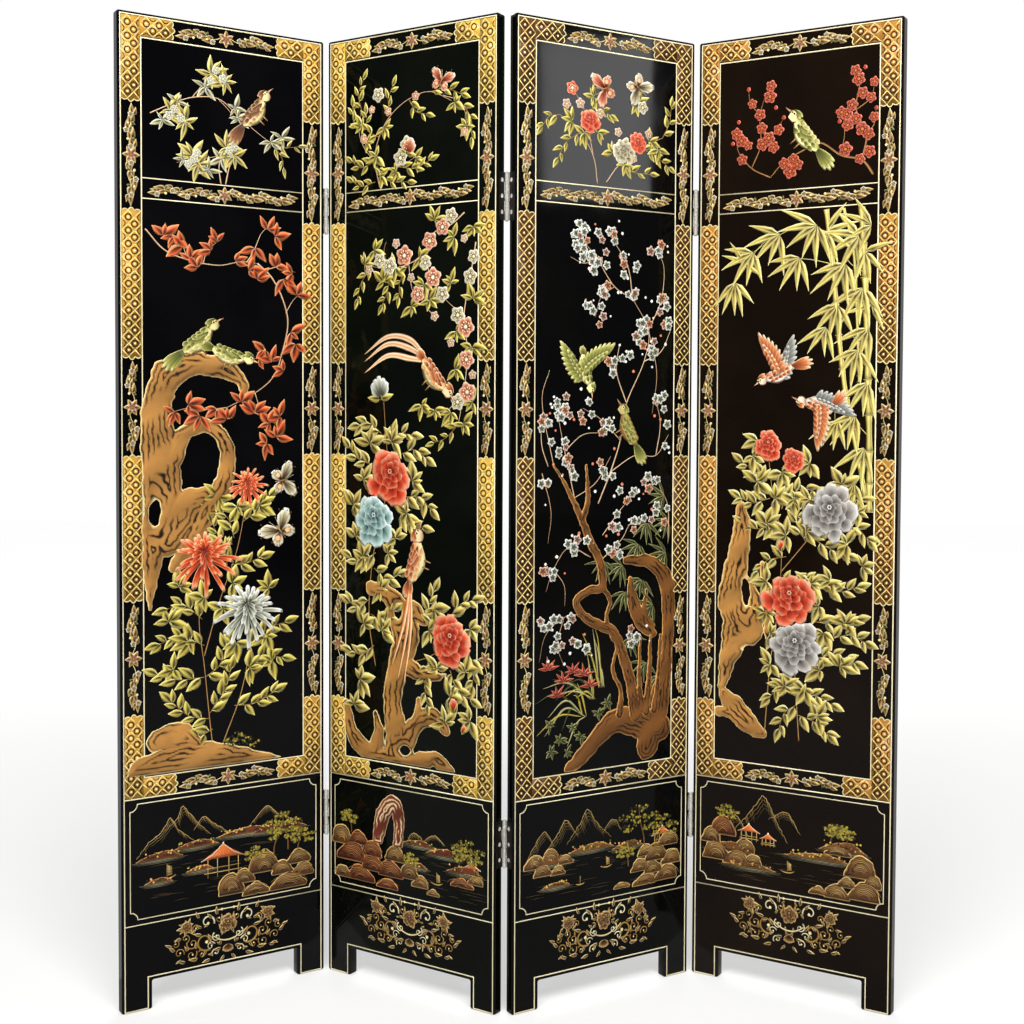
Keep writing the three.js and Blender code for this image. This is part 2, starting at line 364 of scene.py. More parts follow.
def select_only(piece):
    """Object mode, with this piece alone selected and active."""
    select_nothing()
    bpy.context.view_layer.objects.active = piece
    piece.select_set(True)


def unpick(kind):
    """Nothing picked of a piece's edges or faces, so that the next lines can pick some by their place."""
    bpy.ops.object.mode_set(mode="EDIT")
    bpy.ops.mesh.select_mode(type=kind)
    bpy.ops.mesh.select_all(action="DESELECT")
    bpy.ops.object.mode_set(mode="OBJECT")


def cut_away(piece, block):
    """Cut a block out of a piece. The block is used up."""
    select_only(piece)
    cut = piece.modifiers.new("cut", "BOOLEAN")
    cut.operation = "DIFFERENCE"
    cut.solver = "EXACT"
    cut.object = block
    bpy.ops.object.modifier_apply(modifier=cut.name)
    bpy.data.objects.remove(block)


def soften_edges(piece, width, segments, smooth_angle):
    """Bevel every edge sharper than 50 degrees, and shade smooth what turns less than smooth_angle."""
    soft = piece.modifiers.new("soft_edges", "BEVEL")
    soft.width = width
    soft.segments = segments
    soft.limit_method = "ANGLE"
    soft.angle_limit = math.radians(50)
    bpy.ops.object.modifier_apply(modifier=soft.name)
    bpy.ops.object.shade_smooth_by_angle(angle=math.radians(smooth_angle))


def add_block(name, low, high):
    """A box between two corners, in metres, with its size in its mesh."""
    select_nothing()
    middle = [(a + b) / 2 for a, b in zip(low, high)]
    bpy.ops.mesh.primitive_cube_add(size=1, location=middle)
    block = bpy.context.object
    block.name = name
    block.scale = [b - a for a, b in zip(low, high)]
    bpy.ops.object.transform_apply(location=True, rotation=False, scale=True)
    return block


coat_pattern = add_block("coat_pattern", (0, 0, 0), (PANEL_WIDTH / 1000, PANEL_THICKNESS / 1000,
    PANEL_HEIGHT / 1000))
gap_block = add_block("gap_block", (FOOT_WIDTH / 1000, -0.01, -0.02), ((PANEL_WIDTH - FOOT_WIDTH) / 1000,
    0.03, FOOT_HEIGHT / 1000))
cut_away(coat_pattern, gap_block)

# %% Round the outline, then soften all edges
unpick("EDGE")
for edge in coat_pattern.data.edges:
    first, second = (coat_pattern.data.vertices[i].co for i in edge.vertices)
    edge.select = abs(first.x - second.x) < 1e-6 and abs(first.z - second.z) < 1e-6
bpy.ops.object.mode_set(mode="EDIT")
bpy.ops.mesh.bevel(offset=OUTLINE_ROUNDING, segments=5, affect="EDGES")
bpy.ops.object.mode_set(mode="OBJECT")
soften_edges(coat_pattern, EDGE_SOFTNESS, 3, 40)
for face in coat_pattern.data.polygons:
    face.use_smooth = face.area < FLAT_FACE
print("coat pattern:", len(coat_pattern.data.polygons), "faces")

# %% One coat for each panel
WOODWORK = ("front_board", "back_board", "left_stile", "right_stile", "top_rail", "waist_rail",
    "apron_rail")


def dress(piece, *materials):
    """The piece in these materials and no others."""
    piece.data.materials.clear()
    for material in materials:
        piece.data.materials.append(material)


def copy_to_panel(pattern, name, panel, material, place=Matrix()):
    """A copy with its own mesh, whose vertices are moved to their place on the standing panel."""
    piece = pattern.copy()
    piece.data = pattern.data.copy()
    piece.name = name
    bpy.context.scene.collection.objects.link(piece)
    piece.data.transform(panel_matrix(panel) @ place)
    dress(piece, material)
    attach(piece, panel)
    return piece


for panel in PANEL_PLACES:
    coat = copy_to_panel(coat_pattern, panel + "_lacquer_coat", panel, lacquers[panel])
    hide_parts(*[f"{panel}_{part}" for part in WOODWORK])
    print(coat.name, len(coat.data.polygons), "faces")
bpy.data.objects.remove(coat_pattern)

# %% [markdown]
# ## Hinges
#
# Each butt hinge has two dark plates and a nickelled barrel. Plate and barrel are one piece of
# metal in the CAD model, so the faces near the hinge's axis take the barrel's finish and the rest take the
# dark one: only the choice of material changes, never the mesh. Barrel and screws are pale metal that is
# only partly metallic, so that the barrel shows as a bright line and the screw heads as bright dots on the
# dark plates. That brightness is partly their own pale metal and partly a painted highlight.

# %% Materials: dark plate, bright barrel, pale screw steel
def worn_roughness(nodes, links, shader, worn, low, high):
    """A roughness that goes from low to high where the surface is worn."""
    rough = new_node(nodes, "MapRange", To_Min=low, To_Max=high)
    join(links, (worn, "Mask", rough, "Value"), (rough, 0, shader, "Roughness"))


def metal_material(name, clean, dull, metallic, low, high, scale):
    """A metal with dulled spots and a fine brushed roughness."""
    material, nodes, links, shader = new_material(name)
    set_inputs(shader, Metallic=metallic)
    worn = place_group(nodes, handled, Scale=scale, Start=0.42, Full=0.72)
    tint = colour_mix(nodes, clean, dull)
    join(links, (worn, "Mask", tint, 0), (tint, 2, shader, "Base Color"))
    worn_roughness(nodes, links, shader, worn, low, high)
    brushed = place_group(nodes, film, Wave_Scale=160.0, Mark_Scale=1400.0)
    add_bump(nodes, links, shader, brushed, 0.12, 0.0003)
    return material


dark_plate = metal_material("dark_hinge_plate", (0.014, 0.013, 0.012), (0.040, 0.034, 0.027), 0.85, 0.30,
    0.5, 60.0)
# Barrel and pin: pale nickel, only partly metallic, so it shows bright in diffuse light. That brightness is
# a painted highlight, standing in for the white studio a polished barrel mirrors.
nickel_with_painted_highlight = metal_material("nickel_with_painted_highlight", (0.78, 0.76, 0.70), (0.52, 0.49, 0.43), 0.60, 0.22, 0.42,
    90.0)
# Screws: pale steel, less than half metallic, so their heads show as bright dots. That brightness is partly
# their own pale steel and partly a painted glint.
screw_steel_with_painted_glint = metal_material("screw_steel_with_painted_glint", (0.82, 0.80, 0.74), (0.60, 0.57, 0.51), 0.40, 0.26, 0.46, 90.0)

# %% Dress the hinge nodes
HINGE_AXES = {"joint_12": (-364.0632, 108.2894), "joint_23": (-7.1512, -104.7077),
    "joint_34": (358.7120, 92.5184)}
HINGE_LEVELS = {"upper": 1502.0, "lower": 316.0}
BARREL_REACH = 0.0048

for joint, (axis_x, axis_y) in HINGE_AXES.items():
    for level in HINGE_LEVELS:
        for side in ("left_leaf", "right_leaf"):
            leaf_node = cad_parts[f"{joint}_{level}_{side}"]
            dress(leaf_node, dark_plate, nickel_with_painted_highlight)
            bright = 0
            for face in leaf_node.data.polygons:
                away = math.hypot(face.center.x - axis_x / 1000, face.center.y - axis_y / 1000)
                face.material_index = 1 if away < BARREL_REACH else 0
                bright += face.material_index
        dress(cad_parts[f"{joint}_{level}_pin"], nickel_with_painted_highlight)
    print(joint, "dressed;", bright, "bright faces on the last plate")

# %% [markdown]
# ## Hinge screws
#
# Three countersunk screws hold each plate. One screw is turned from a cylinder: its underside is drawn in
# to the shank by an extrusion, the rim is eased, and a slot is sunk across the head. Thirty-six copies are
# then laid into the seats that the plates already have.

# %% Model one screw, head up, in metres
SCREW_HEAD = 8.0
SCREW_SHANK = 4.2
SCREW_SINK = 1.75
SCREW_LENGTH = 9.0
RIM_THICKNESS = 0.0003
POINT_SHARE = 0.45
HEAD_SOFTNESS = 0.00012

select_nothing()
bpy.ops.mesh.primitive_cylinder_add(vertices=20, radius=SCREW_HEAD / 2000, depth=RIM_THICKNESS,
    location=(0, 0, -0.00025))
screw_pattern = bpy.context.object
screw_pattern.name = "screw_pattern"
bpy.ops.object.transform_apply(location=True, rotation=False, scale=False)
unpick("FACE")
for face in screw_pattern.data.polygons:
    face.select = face.normal.z < -0.9
bpy.ops.object.mode_set(mode="EDIT")
bpy.ops.mesh.extrude_region_move(TRANSFORM_OT_translate={"value": (0, 0, -(SCREW_SINK - 0.4) / 1000)})
bpy.ops.transform.resize(value=(SCREW_SHANK / SCREW_HEAD, SCREW_SHANK / SCREW_HEAD, 1))
bpy.ops.mesh.extrude_region_move(TRANSFORM_OT_translate={"value": (0, 0, -SCREW_LENGTH / 1000)})
bpy.ops.transform.resize(value=(POINT_SHARE, POINT_SHARE, 1))
bpy.ops.object.mode_set(mode="OBJECT")
slot_block = add_block("slot_block", (-0.0045, -0.0004, -0.0009), (0.0045, 0.0004, 0.0004))
cut_away(screw_pattern, slot_block)
soften_edges(screw_pattern, HEAD_SOFTNESS, 1, 35)
print("screw:", len(screw_pattern.data.polygons), "faces")

# %% Lay the screws into the plates
SCREW_DEPTH = 9.5
SCREW_PITCH = 29.0
RIGHT_FACE = 408.1
LEFT_FACE = -2.1
SCREWED_EDGES = {"panel_1": ("right",), "panel_2": ("left", "right"), "panel_3": ("left", "right"),
    "panel_4": ("left",)}

screw_turns = random.Random(7)
screw_count = 0
for panel, edges in SCREWED_EDGES.items():
    for edge in edges:
        face_s = RIGHT_FACE if edge == "right" else LEFT_FACE
        tilt = math.radians(90 if edge == "right" else -90)
        for level, height in HINGE_LEVELS.items():
            for row in (-1, 0, 1):
                name = f"{panel}_{edge}_{level}_screw_{row + 2}"
                seat = Matrix.Translation((face_s / 1000, SCREW_DEPTH / 1000,
                    (height + row * SCREW_PITCH) / 1000))
                turn = Matrix.Rotation(screw_turns.uniform(0, math.pi), 4, "Z")
                copy_to_panel(screw_pattern, name, panel, screw_steel_with_painted_glint,
                    seat @ Matrix.Rotation(tilt, 4, "Y") @ turn)
                screw_count += 1
bpy.data.objects.remove(screw_pattern)
print("screws:", screw_count)

# %% [markdown]
# ## Brush and stamps
#
# The decoration is paint with body: every stroke stands a little proud of the lacquer, as the real one
# does under a fingertip. Thousands of strokes can't be modelled one by one, so they come from two tools. A
# brush sweeps a low ribbon along a path, pale at its edges and darker in its middle. Stamps, such as a
# leaf, a petal, a dot and a ring, are modelled once with Blender's own operators and then printed again
# and again, each print stretched, bent and coloured for its place. All of it is closed, and its underside
# lies in the lacquer.

# %% Colours of the paint pots
def pot(red, green, blue):
    """A paint as the eye names it (0 to 255), in Blender's linear colour."""
    return np.array([(c / 255 / 12.92) if c < 10.3 else ((c / 255 + 0.055) / 1.055) ** 2.4 for c in (red,
        green, blue)])


Look = namedtuple("Look", "rim body heart")


def look_of(*colours):
    """The three paints of one kind of stroke: its pale rim, its body and its dark heart."""
    return Look(*[pot(*colour) for colour in colours])


GOLD = pot(252, 240, 198)
GOLD_DEEP = pot(176, 134, 62)
LATTICE_GOLD = pot(255, 228, 142)
RING_BROWN = pot(44, 22, 6)
CREAM = pot(246, 230, 166)
BARK = pot(112, 72, 36)
BARK_DARK = pot(52, 30, 16)
BARK_LIGHT = pot(196, 150, 88)
LEAF = look_of((255, 240, 146), (208, 186, 70), (26, 28, 6))
SCROLL = look_of((250, 224, 158), (168, 120, 54), (26, 12, 3))
LEAF_PALE = look_of((254, 248, 220), (200, 194, 134), (44, 48, 22))
LEAF_DARK = look_of((168, 168, 108), (72, 80, 40), (12, 16, 6))
LEAF_RED = look_of((248, 166, 106), (212, 74, 28), (46, 8, 2))
PETAL_WHITE = look_of((254, 254, 250), (204, 208, 186), (50, 54, 36))
PETAL_BLUE = look_of((244, 254, 250), (176, 216, 208), (24, 66, 68))
PETAL_GREY = look_of((242, 238, 230), (182, 176, 168), (60, 54, 50))
PETAL_RED = look_of((255, 190, 152), (244, 88, 48), (120, 10, 8))
PETAL_ORANGE = look_of((255, 196, 146), (240, 98, 44), (120, 18, 6))
PETAL_CORAL = look_of((255, 236, 208), (224, 132, 92), (120, 34, 16))
PETAL_CREAM = look_of((255, 252, 236), (216, 206, 164), (70, 50, 20))
PETAL_PINK = look_of((255, 246, 236), (228, 170, 150), (84, 26, 20))
PETAL_PLUM = look_of((255, 255, 248), (232, 232, 216), (10, 12, 6))
PETAL_WINE = look_of((244, 150, 120), (172, 52, 36), (56, 6, 6))
CANE_LEAF = look_of((255, 246, 172), (234, 210, 104), (70, 54, 14))
LEAF_GOLD = look_of((255, 243, 166), (222, 194, 88), (44, 34, 8))
ROCK_RED = look_of((240, 170, 98), (88, 38, 20), (10, 4, 3))
BOULDER = look_of((246, 206, 128), (98, 60, 26), (10, 5, 2))
CLIFF = look_of((240, 200, 150), (104, 44, 26), (236, 204, 160))
ROSE_GOLD = look_of((246, 214, 148), (140, 92, 38), (28, 12, 3))
ROCK = look_of((255, 224, 156), (180, 128, 64), (20, 9, 3))
ROCK_BROWN = look_of((226, 170, 98), (120, 76, 34), (10, 5, 2))
ISLAND = look_of((238, 180, 104), (104, 48, 24), (12, 5, 3))
FEATHER_OLIVE = look_of((232, 224, 150), (160, 160, 74), (70, 74, 30))
FEATHER_ORANGE = look_of((255, 230, 190), (230, 140, 80), (120, 46, 22))
FEATHER_BROWN = look_of((226, 196, 150), (150, 96, 56), (70, 40, 24))
FEATHER_GREY = look_of((224, 222, 210), (150, 150, 142), (76, 78, 74))
LAND_GOLD = pot(206, 172, 100)
LAND_PALE = pot(196, 188, 146)
LAND_DIM = pot(120, 98, 54)
LAND_ORANGE = pot(222, 116, 54)
BLACK = pot(8, 7, 6)
WOOD = Look(BARK_LIGHT, BARK, BARK_DARK)
print("green leaf, rim to heart:", [np.round(paint, 2).tolist() for paint in LEAF])

# %% A sheet that gathers strokes
class Relief:
    """The strokes of one piece, in panel millimetres (s, d, h), until they become a mesh."""

    TONES = (0.88, 1.10)

    def __init__(self, seed=1):
        self.points = []
        self.paints = []
        self.faces = []
        self.count = 0
        self.rng = random.Random(seed)

    def add(self, points, faces, paints):
        """One closed stroke, a little darker or paler than the last."""
        tone = self.rng.uniform(*self.TONES)
        self.points.append(np.asarray(points, float))
        self.paints.append(np.clip(np.asarray(paints, float) * tone, 0, 1))
        self.faces.extend(tuple(i + self.count for i in face) for face in faces)
        self.count += len(points)


def make_piece(relief, name, panel, material, back=False):
    """The gathered strokes as one mesh on the front or back of its panel, with a colour attribute."""
    points = np.concatenate(relief.points)
    paints = np.concatenate(relief.paints)
    places = np.stack([points[:, 0], -points[:, 2], PANEL_HEIGHT - points[:, 1]], 1) / 1000
    if back:
        places[:, 0] = PANEL_WIDTH / 1000 - places[:, 0]
        places[:, 1] = PANEL_THICKNESS / 1000 - places[:, 1]
    mesh = bpy.data.meshes.new(name)
    mesh.from_pydata(places.tolist(), [], relief.faces)
    colour = mesh.color_attributes.new("paint", "FLOAT_COLOR", "POINT")
    colour.data.foreach_set("color",
        np.column_stack([paints, np.ones(len(paints))]).astype(np.float32).ravel())
    corner_points = np.empty(len(mesh.loops), np.int32)
    mesh.loops.foreach_get("vertex_index", corner_points)
    flat = points[corner_points][:, :2] / (PANEL_WIDTH, PANEL_HEIGHT)
    flat[:, 1] = 1 - flat[:, 1]
    mesh.uv_layers.new(name="OFBake").data.foreach_set("uv", flat.astype(np.float32).ravel())
    mesh.polygons.foreach_set("use_smooth", np.ones(len(mesh.polygons), bool))
    mesh.transform(panel_matrix(panel))
    mesh.materials.append(material)
    mesh.update()
    piece = bpy.data.objects.new(name, mesh)
    bpy.context.scene.collection.objects.link(piece)
    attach(piece, panel)
    triangles = sum(len(face) - 2 for face in relief.faces)
    print(name, triangles, "triangles")
    return piece


# %% The brush
UNDERSIDE = -0.05
LINE = ((1, UNDERSIDE), (0, 0.14), (-1, UNDERSIDE))
LIMB = ((1, UNDERSIDE), (0.62, 0.16), (0.0, 0.26), (-0.5, 0.18), (-1, UNDERSIDE))


def spread(values, count):
    """A few values spread evenly over count places."""
    if np.ndim(values) == 0:
        return np.full(count, float(values))
    return np.interp(np.linspace(0, 1, count), np.linspace(0, 1, len(values)), values)


def curve_through(points, step=5.0):
    """A smooth line through points, with a point about every step millimetres."""
    line = np.array(points, float)
    ends = np.vstack([2 * line[0] - line[1], line, 2 * line[-1] - line[-2]])
    smooth = []
    for i in range(1, len(ends) - 2):
        a, b, c, d = ends[i - 1:i + 3]
        count = max(2, int(np.linalg.norm(c - b) / step))
        for t in np.linspace(0, 1, count, endpoint=False):
            square = (2 * a - 5 * b + 4 * c - d) * t * t
            cube = (3 * b - a - 3 * c + d) * t ** 3
            smooth.append(0.5 * (2 * b + (c - a) * t + square + cube))
    smooth.append(line[-1])
    return np.array(smooth)


def sweep(relief, path, widths, profile, start, end=None, level=0.0):
    """A closed ribbon along path. start and end hold one paint for each point of the profile."""
    line = np.asarray(path, float)
    count = len(line)
    run = np.gradient(line, axis=0)
    run /= np.maximum(np.linalg.norm(run, axis=1), 1e-9)[:, None]
    left = np.stack([run[:, 1], -run[:, 0]], 1)
    half = np.maximum(spread(widths, count), 0.12) / 2
    across = np.array([a for a, _ in profile])
    heights = np.array([h for _, h in profile]) + level
    rows = len(profile)
    flat = line[:, None, :] + left[:, None, :] * (half[:, None] * across[None, :])[:, :, None]
    points = np.concatenate([flat, np.broadcast_to(heights[None, :, None], (count, rows, 1))], 2)
    first = np.asarray(start, float)
    last = first if end is None else np.asarray(end, float)
    share = np.linspace(0, 1, count)[:, None, None]
    paints = first[None] * (1 - share) + last[None] * share
    faces = []
    for i in range(count - 1):
        for k in range(rows):
            n = (k + 1) % rows
            faces.append((i * rows + k, i * rows + n, (i + 1) * rows + n, (i + 1) * rows + k))
    faces.append(tuple(range(rows - 1, -1, -1)))
    faces.append(tuple((count - 1) * rows + k for k in range(rows)))
    relief.add(points.reshape(-1, 3), faces, paints.reshape(-1, 3))


def gold_line(relief, path, width=3.2, paint=GOLD, level=0.0, close=False):
    """A plain drawn line. A closed one has mitred corners."""
    line = [np.array(p, float) for p in path]
    if not close:
        thin(relief, line, width, paint, level, 0.9)
        return
    count = len(line)
    points, faces = [], []
    for i, corner in enumerate(line):
        before = corner - line[i - 1]
        after = line[(i + 1) % count] - corner
        before /= np.linalg.norm(before)
        after /= np.linalg.norm(after)
        left = np.array([before[1] + after[1], -before[0] - after[0]])
        left /= np.linalg.norm(left)
        reach = width / 2 / max(0.3, left @ np.array([before[1], -before[0]]))
        for across, height in LINE:
            points.append([*(corner + left * across * reach), level + height])
        for k in range(3):
            j, n = (i + 1) % count, (k + 1) % 3
            faces.append((i * 3 + k, i * 3 + n, j * 3 + n, j * 3 + k))
    relief.add(points, faces, np.array([paint * 0.9, paint, paint * 0.9] * count))


def thin(relief, path, widths, paint, level=0.0, edge=0.6):
    """A fine stroke in one paint, darker at its edges by edge."""
    sweep(relief, path, widths, LINE, [paint * edge, paint, paint * edge], level=level)


def stroke(relief, points, widths, edge, core, level=0.0, step=5.0):
    """A freehand stroke through points, in two paints."""
    sweep(relief, curve_through(points, step), widths, LINE, [edge, core, edge], level=level)


def limb(relief, points, widths, look, level=0.0, step=6.0):
    """A branch: rim on the light side, body, and heart on the shaded side."""
    tones = [look.rim, look.body, look.body, look.heart, look.heart]
    sweep(relief, curve_through(points, step), widths, LIMB, tones, level=level)


# %% Model the stamps with Blender's operators
def model_stamp(name, along_cuts, across_cuts, half_width, round_tip=0.0, dark_side=0.0, vein=0.5,
        shade=1.05):
    """A unit motif from a grid: drawn in to its outline, crowned, tips welded, underside closed."""
    select_nothing()
    bpy.ops.mesh.primitive_grid_add(x_subdivisions=along_cuts, y_subdivisions=across_cuts, size=2)
    motif = bpy.context.object
    motif.name = name
    shares = []
    for vertex in motif.data.vertices:
        along = 1 - (1 - (vertex.co.x + 1) / 2) ** 1.4
        across = math.copysign(abs(vertex.co.y) ** vein, vertex.co.y)
        shares.append((along, across))
        shoulder = round_tip * along ** 3 * abs(across) ** 2.4
        dent = round_tip * 0.25 * along ** 3 * max(0, 1 - 2 * abs(across)) ** 2
        vertex.co.x = along - shoulder - dent
        vertex.co.y = across * half_width(along)
        vertex.co.z = (1 - across * across) * math.sin(math.pi * min(1, along * 0.9 + 0.05))
    weights = motif.data.color_attributes.new("weights", "FLOAT_COLOR", "POINT")
    for vertex, (along, across) in zip(weights.data, shares):
        rim = min(1.0, max(abs(across) - 0.72, along - 0.72, 0.0) * 3.6)
        base = max(0.0, shade - along * 1.5) + (0.40 if across < 0.01 else 0.0) * (1 - along)
        heart = (1 - rim) * base + (0.35 if abs(across) < 0.01 and along < 0.9 else 0)
        heart += dark_side if -0.99 < across < -0.01 else 0
        vertex.color = (rim, min(1, heart), 0, 1)
    bpy.ops.object.mode_set(mode="EDIT")
    bpy.ops.mesh.select_all(action="SELECT")
    bpy.ops.mesh.remove_doubles(threshold=0.0005)
    bpy.ops.mesh.select_mode(type="EDGE")
    bpy.ops.mesh.select_all(action="DESELECT")
    bpy.ops.mesh.select_non_manifold(extend=False, use_wire=False, use_multi_face=False,
        use_non_contiguous=False, use_verts=False)
    bpy.ops.mesh.edge_face_add()
    bpy.ops.mesh.select_all(action="SELECT")
    bpy.ops.mesh.normals_make_consistent(inside=False)
    bpy.ops.object.mode_set(mode="OBJECT")
    points = np.array([v.co for v in motif.data.vertices])
    kept = np.array([w.color[:2] for w in motif.data.color_attributes["weights"].data])
    faces = [tuple(face.vertices) for face in motif.data.polygons]
    bpy.data.objects.remove(motif)
    print(name, len(points), "points", len(faces), "faces")
    return points, kept, faces


LEAF_STAMP = model_stamp("leaf_stamp", 6, 4, lambda a: math.sin(math.pi * a ** 0.8) if 0 < a < 1 else 0,
    dark_side=0.5, vein=1.7, shade=0.9)
LANCE_STAMP = model_stamp("lance_stamp", 5, 4, lambda a: math.sin(math.pi * a ** 0.6) if 0 < a < 1 else 0,
    dark_side=0.3, vein=1.7, shade=0.75)
PETAL_STAMP = model_stamp("petal_stamp", 4, 6, lambda a: 0.14 + 0.86 * math.sin(math.pi * a * 0.8), 0.3)
RAY_STAMP = model_stamp("ray_stamp", 5, 4, lambda a: 0.3 + 0.7 * math.sin(math.pi / 2 * min(1, a / 0.7)),
    0.12)
FEATHER_STAMP = model_stamp("feather_stamp", 5, 4, lambda a: 0.25 + 0.75 * math.sin(math.pi * a * 0.84),
    0.2)
DOT_STAMP = model_stamp("dot_stamp", 4, 4, lambda a: 2 * math.sqrt(max(0, a * (1 - a))))

# %% Model the ring stamp: a circle drawn in twice, and its underside bridged
RING_SIDES = 12

select_nothing()
bpy.ops.mesh.primitive_circle_add(vertices=RING_SIDES, radius=1.0, fill_type="NOTHING")
ring_motif = bpy.context.object
bpy.ops.object.mode_set(mode="EDIT")
bpy.ops.mesh.select_mode(type="EDGE")
bpy.ops.mesh.select_all(action="SELECT")
bpy.ops.mesh.extrude_region_move(TRANSFORM_OT_translate={"value": (0, 0, 1)})
bpy.ops.transform.resize(value=(0.82, 0.82, 1))
bpy.ops.mesh.extrude_region_move(TRANSFORM_OT_translate={"value": (0, 0, -1)})
bpy.ops.transform.resize(value=(0.76, 0.76, 1))
bpy.ops.mesh.select_all(action="DESELECT")
bpy.ops.mesh.select_non_manifold(extend=False, use_wire=False, use_multi_face=False,
    use_non_contiguous=False, use_verts=False)
bpy.ops.mesh.bridge_edge_loops()
bpy.ops.mesh.select_all(action="SELECT")
bpy.ops.mesh.normals_make_consistent(inside=False)
bpy.ops.object.mode_set(mode="OBJECT")
ring_points = np.array([v.co for v in ring_motif.data.vertices])
ring_faces = [tuple(face.vertices) for face in ring_motif.data.polygons]
bpy.data.objects.remove(ring_motif)
print("ring_stamp", len(ring_points), "points", len(ring_faces), "faces")


# %% Printing a stamp
def turned(angle):
    """The direction of an angle in degrees: 0 points right, 90 points up the panel."""
    return np.array([math.cos(math.radians(angle)), -math.sin(math.radians(angle))])


def print_stamp(relief, stamp, place, angle, length, width, look, level=0.0, bend=0.0, rise=0.3):
    """One print of a stamp from its base at place, towards angle, in three paints."""
    points, weights, faces = stamp
    along = points[:, 0] * length
    across = points[:, 1] * width / 2 + bend * length * points[:, 0] ** 2
    forward_run = turned(angle)
    left_run = turned(angle + 90)
    flat = np.asarray(place, float) + np.outer(along, forward_run) + np.outer(across, left_run)
    heights = level + UNDERSIDE + points[:, 2] * rise
    rim, heart = weights[:, :1], weights[:, 1:]
    heart = np.minimum(heart, 1 - rim)
    body = 1 - rim - heart
    paints = rim * look.rim + heart * look.heart + body * look.body
    relief.add(np.column_stack([flat, heights]), faces, paints)


def leaf(relief, place, angle, length, look, level=0.1, width=0.46, bend=0.0):
    print_stamp(relief, LEAF_STAMP, place, angle, length, length * width, look, level, bend)


def dot(relief, place, radius, rim, heart, level=0.2, rise=0.3):
    """A round drop of paint."""
    start = np.asarray(place, float) - (radius, 0)
    look = Look(rim, heart, heart)
    print_stamp(relief, DOT_STAMP, start, 0, 2 * radius, 2 * radius, look, level, rise=rise)


def ring(relief, place, radius, edge, core, level=0.1, rise=0.2):
    flat = ring_points[:, :2] * radius * (1, -1) + place
    heights = level + UNDERSIDE + ring_points[:, 2] * rise
    paints = np.where(ring_points[:, 2:] > 0.5, core, edge)
    relief.add(np.column_stack([flat, heights]), ring_faces, paints)

# %% [markdown]
# ## Paint and gold
#
# Two paint finishes carry all the drawing. `gold_paint` is powdered gold in a clear binder: a little
# metallic, satin, and slightly rubbed where it stands proud. `picture_paint` is coloured lacquer paint,
# matter than the black around it. Both take their colour from the strokes' own colour attribute.

# %% Materials: gold paint and picture paint
def paint_material(name, metallic, low, high, grain):
    """Paint that takes its colour from the strokes, duller and rougher where it is rubbed."""
    material, nodes, links, shader = new_material(name)
    set_inputs(shader, Metallic=metallic, Specular_IOR_Level=0.3)
    strokes = new_node(nodes, "VertexColor")
    strokes.layer_name = "paint"
    rubbed = place_group(nodes, handled, Scale=26.0, Start=0.5, Full=0.85)
    tired = new_node(nodes, "Mix")
    tired.data_type = "RGBA"
    tired.blend_type = "MULTIPLY"
    tired.inputs[7].default_value = (0.80, 0.74, 0.66, 1)
    join(links, (rubbed, "Mask", tired, 0), (strokes, "Color", tired, 6), (tired, 2, shader, "Base Color"))
    worn_roughness(nodes, links, shader, rubbed, low, high)
    grain_node = place_group(nodes, film, Wave_Scale=grain, Mark_Scale=grain * 4)
    add_bump(nodes, links, shader, grain_node, 0.15, 0.0004)
    return material


gold_paint = paint_material("gold_paint", 0.08, 0.36, 0.52, 260.0)
picture_paint = paint_material("picture_paint", 0.0, 0.42, 0.6, 190.0)
print("paints:", gold_paint.name, picture_paint.name)

# %% [markdown]
# ## Gold lines
#
# Two fine lines frame the border, two more cross the upper field, and a separate frame with hollowed
# corners holds the landscape. The outer line runs down to the soles and the last one follows the cut-out.
# The screen is drawn by hand, so the landscape's lower lines stand a little differently on each panel.

# %% Draw the lines of each panel
OUTER_LEFT = 6.0
OUTER_RIGHT = 400.0
INNER_LEFT = 44.0
INNER_RIGHT = 362.0
BAND_TOP = 5.0
FIELD_TOP = 44.0
STRIP_TOP = 296.0
STRIP_BOTTOM = 333.0
FIELD_BOTTOM = 1395.0
BAND_BOTTOM = 1433.0
VIEW_LEFT = 16.7
VIEW_RIGHT = 389.0
VIEW_TOP = 1442.5
VIEW_BOTTOMS = {"panel_1": 1657.5, "panel_2": 1647.1, "panel_3": 1646.4, "panel_4": 1636.8}
RULE_BELOW_VIEW = 10.6
CORNER_HOLLOW = 14.0
APRON_LINE = 1768.4
FOOT_LINE_LEFT = 49.5
FOOT_LINE_RIGHT = 356.5


def hollow_corners(left, top, right, bottom, size):
    """A rectangle whose corners are taken out by quarter rounds, point by point."""
    line = []
    for corner_s, corner_d, first in ((left, top, 90), (right, top, 180), (right, bottom, 270),
            (left, bottom, 0)):
        for step in range(5):
            angle = math.radians(first - step * 22.5)
            line.append((corner_s + size * math.cos(angle), corner_d + size * math.sin(angle)))
    return line


def edge_line(relief, width=3.2, paint=GOLD):
    """The line round a whole face, down to the soles and round the cut-out."""
    sole = PANEL_HEIGHT - 2
    gold_line(relief, [(OUTER_LEFT, sole), (OUTER_LEFT, BAND_TOP), (OUTER_RIGHT, BAND_TOP),
        (OUTER_RIGHT, sole), (FOOT_LINE_RIGHT, sole), (FOOT_LINE_RIGHT, APRON_LINE),
        (FOOT_LINE_LEFT, APRON_LINE), (FOOT_LINE_LEFT, sole)], width, paint, close=True)


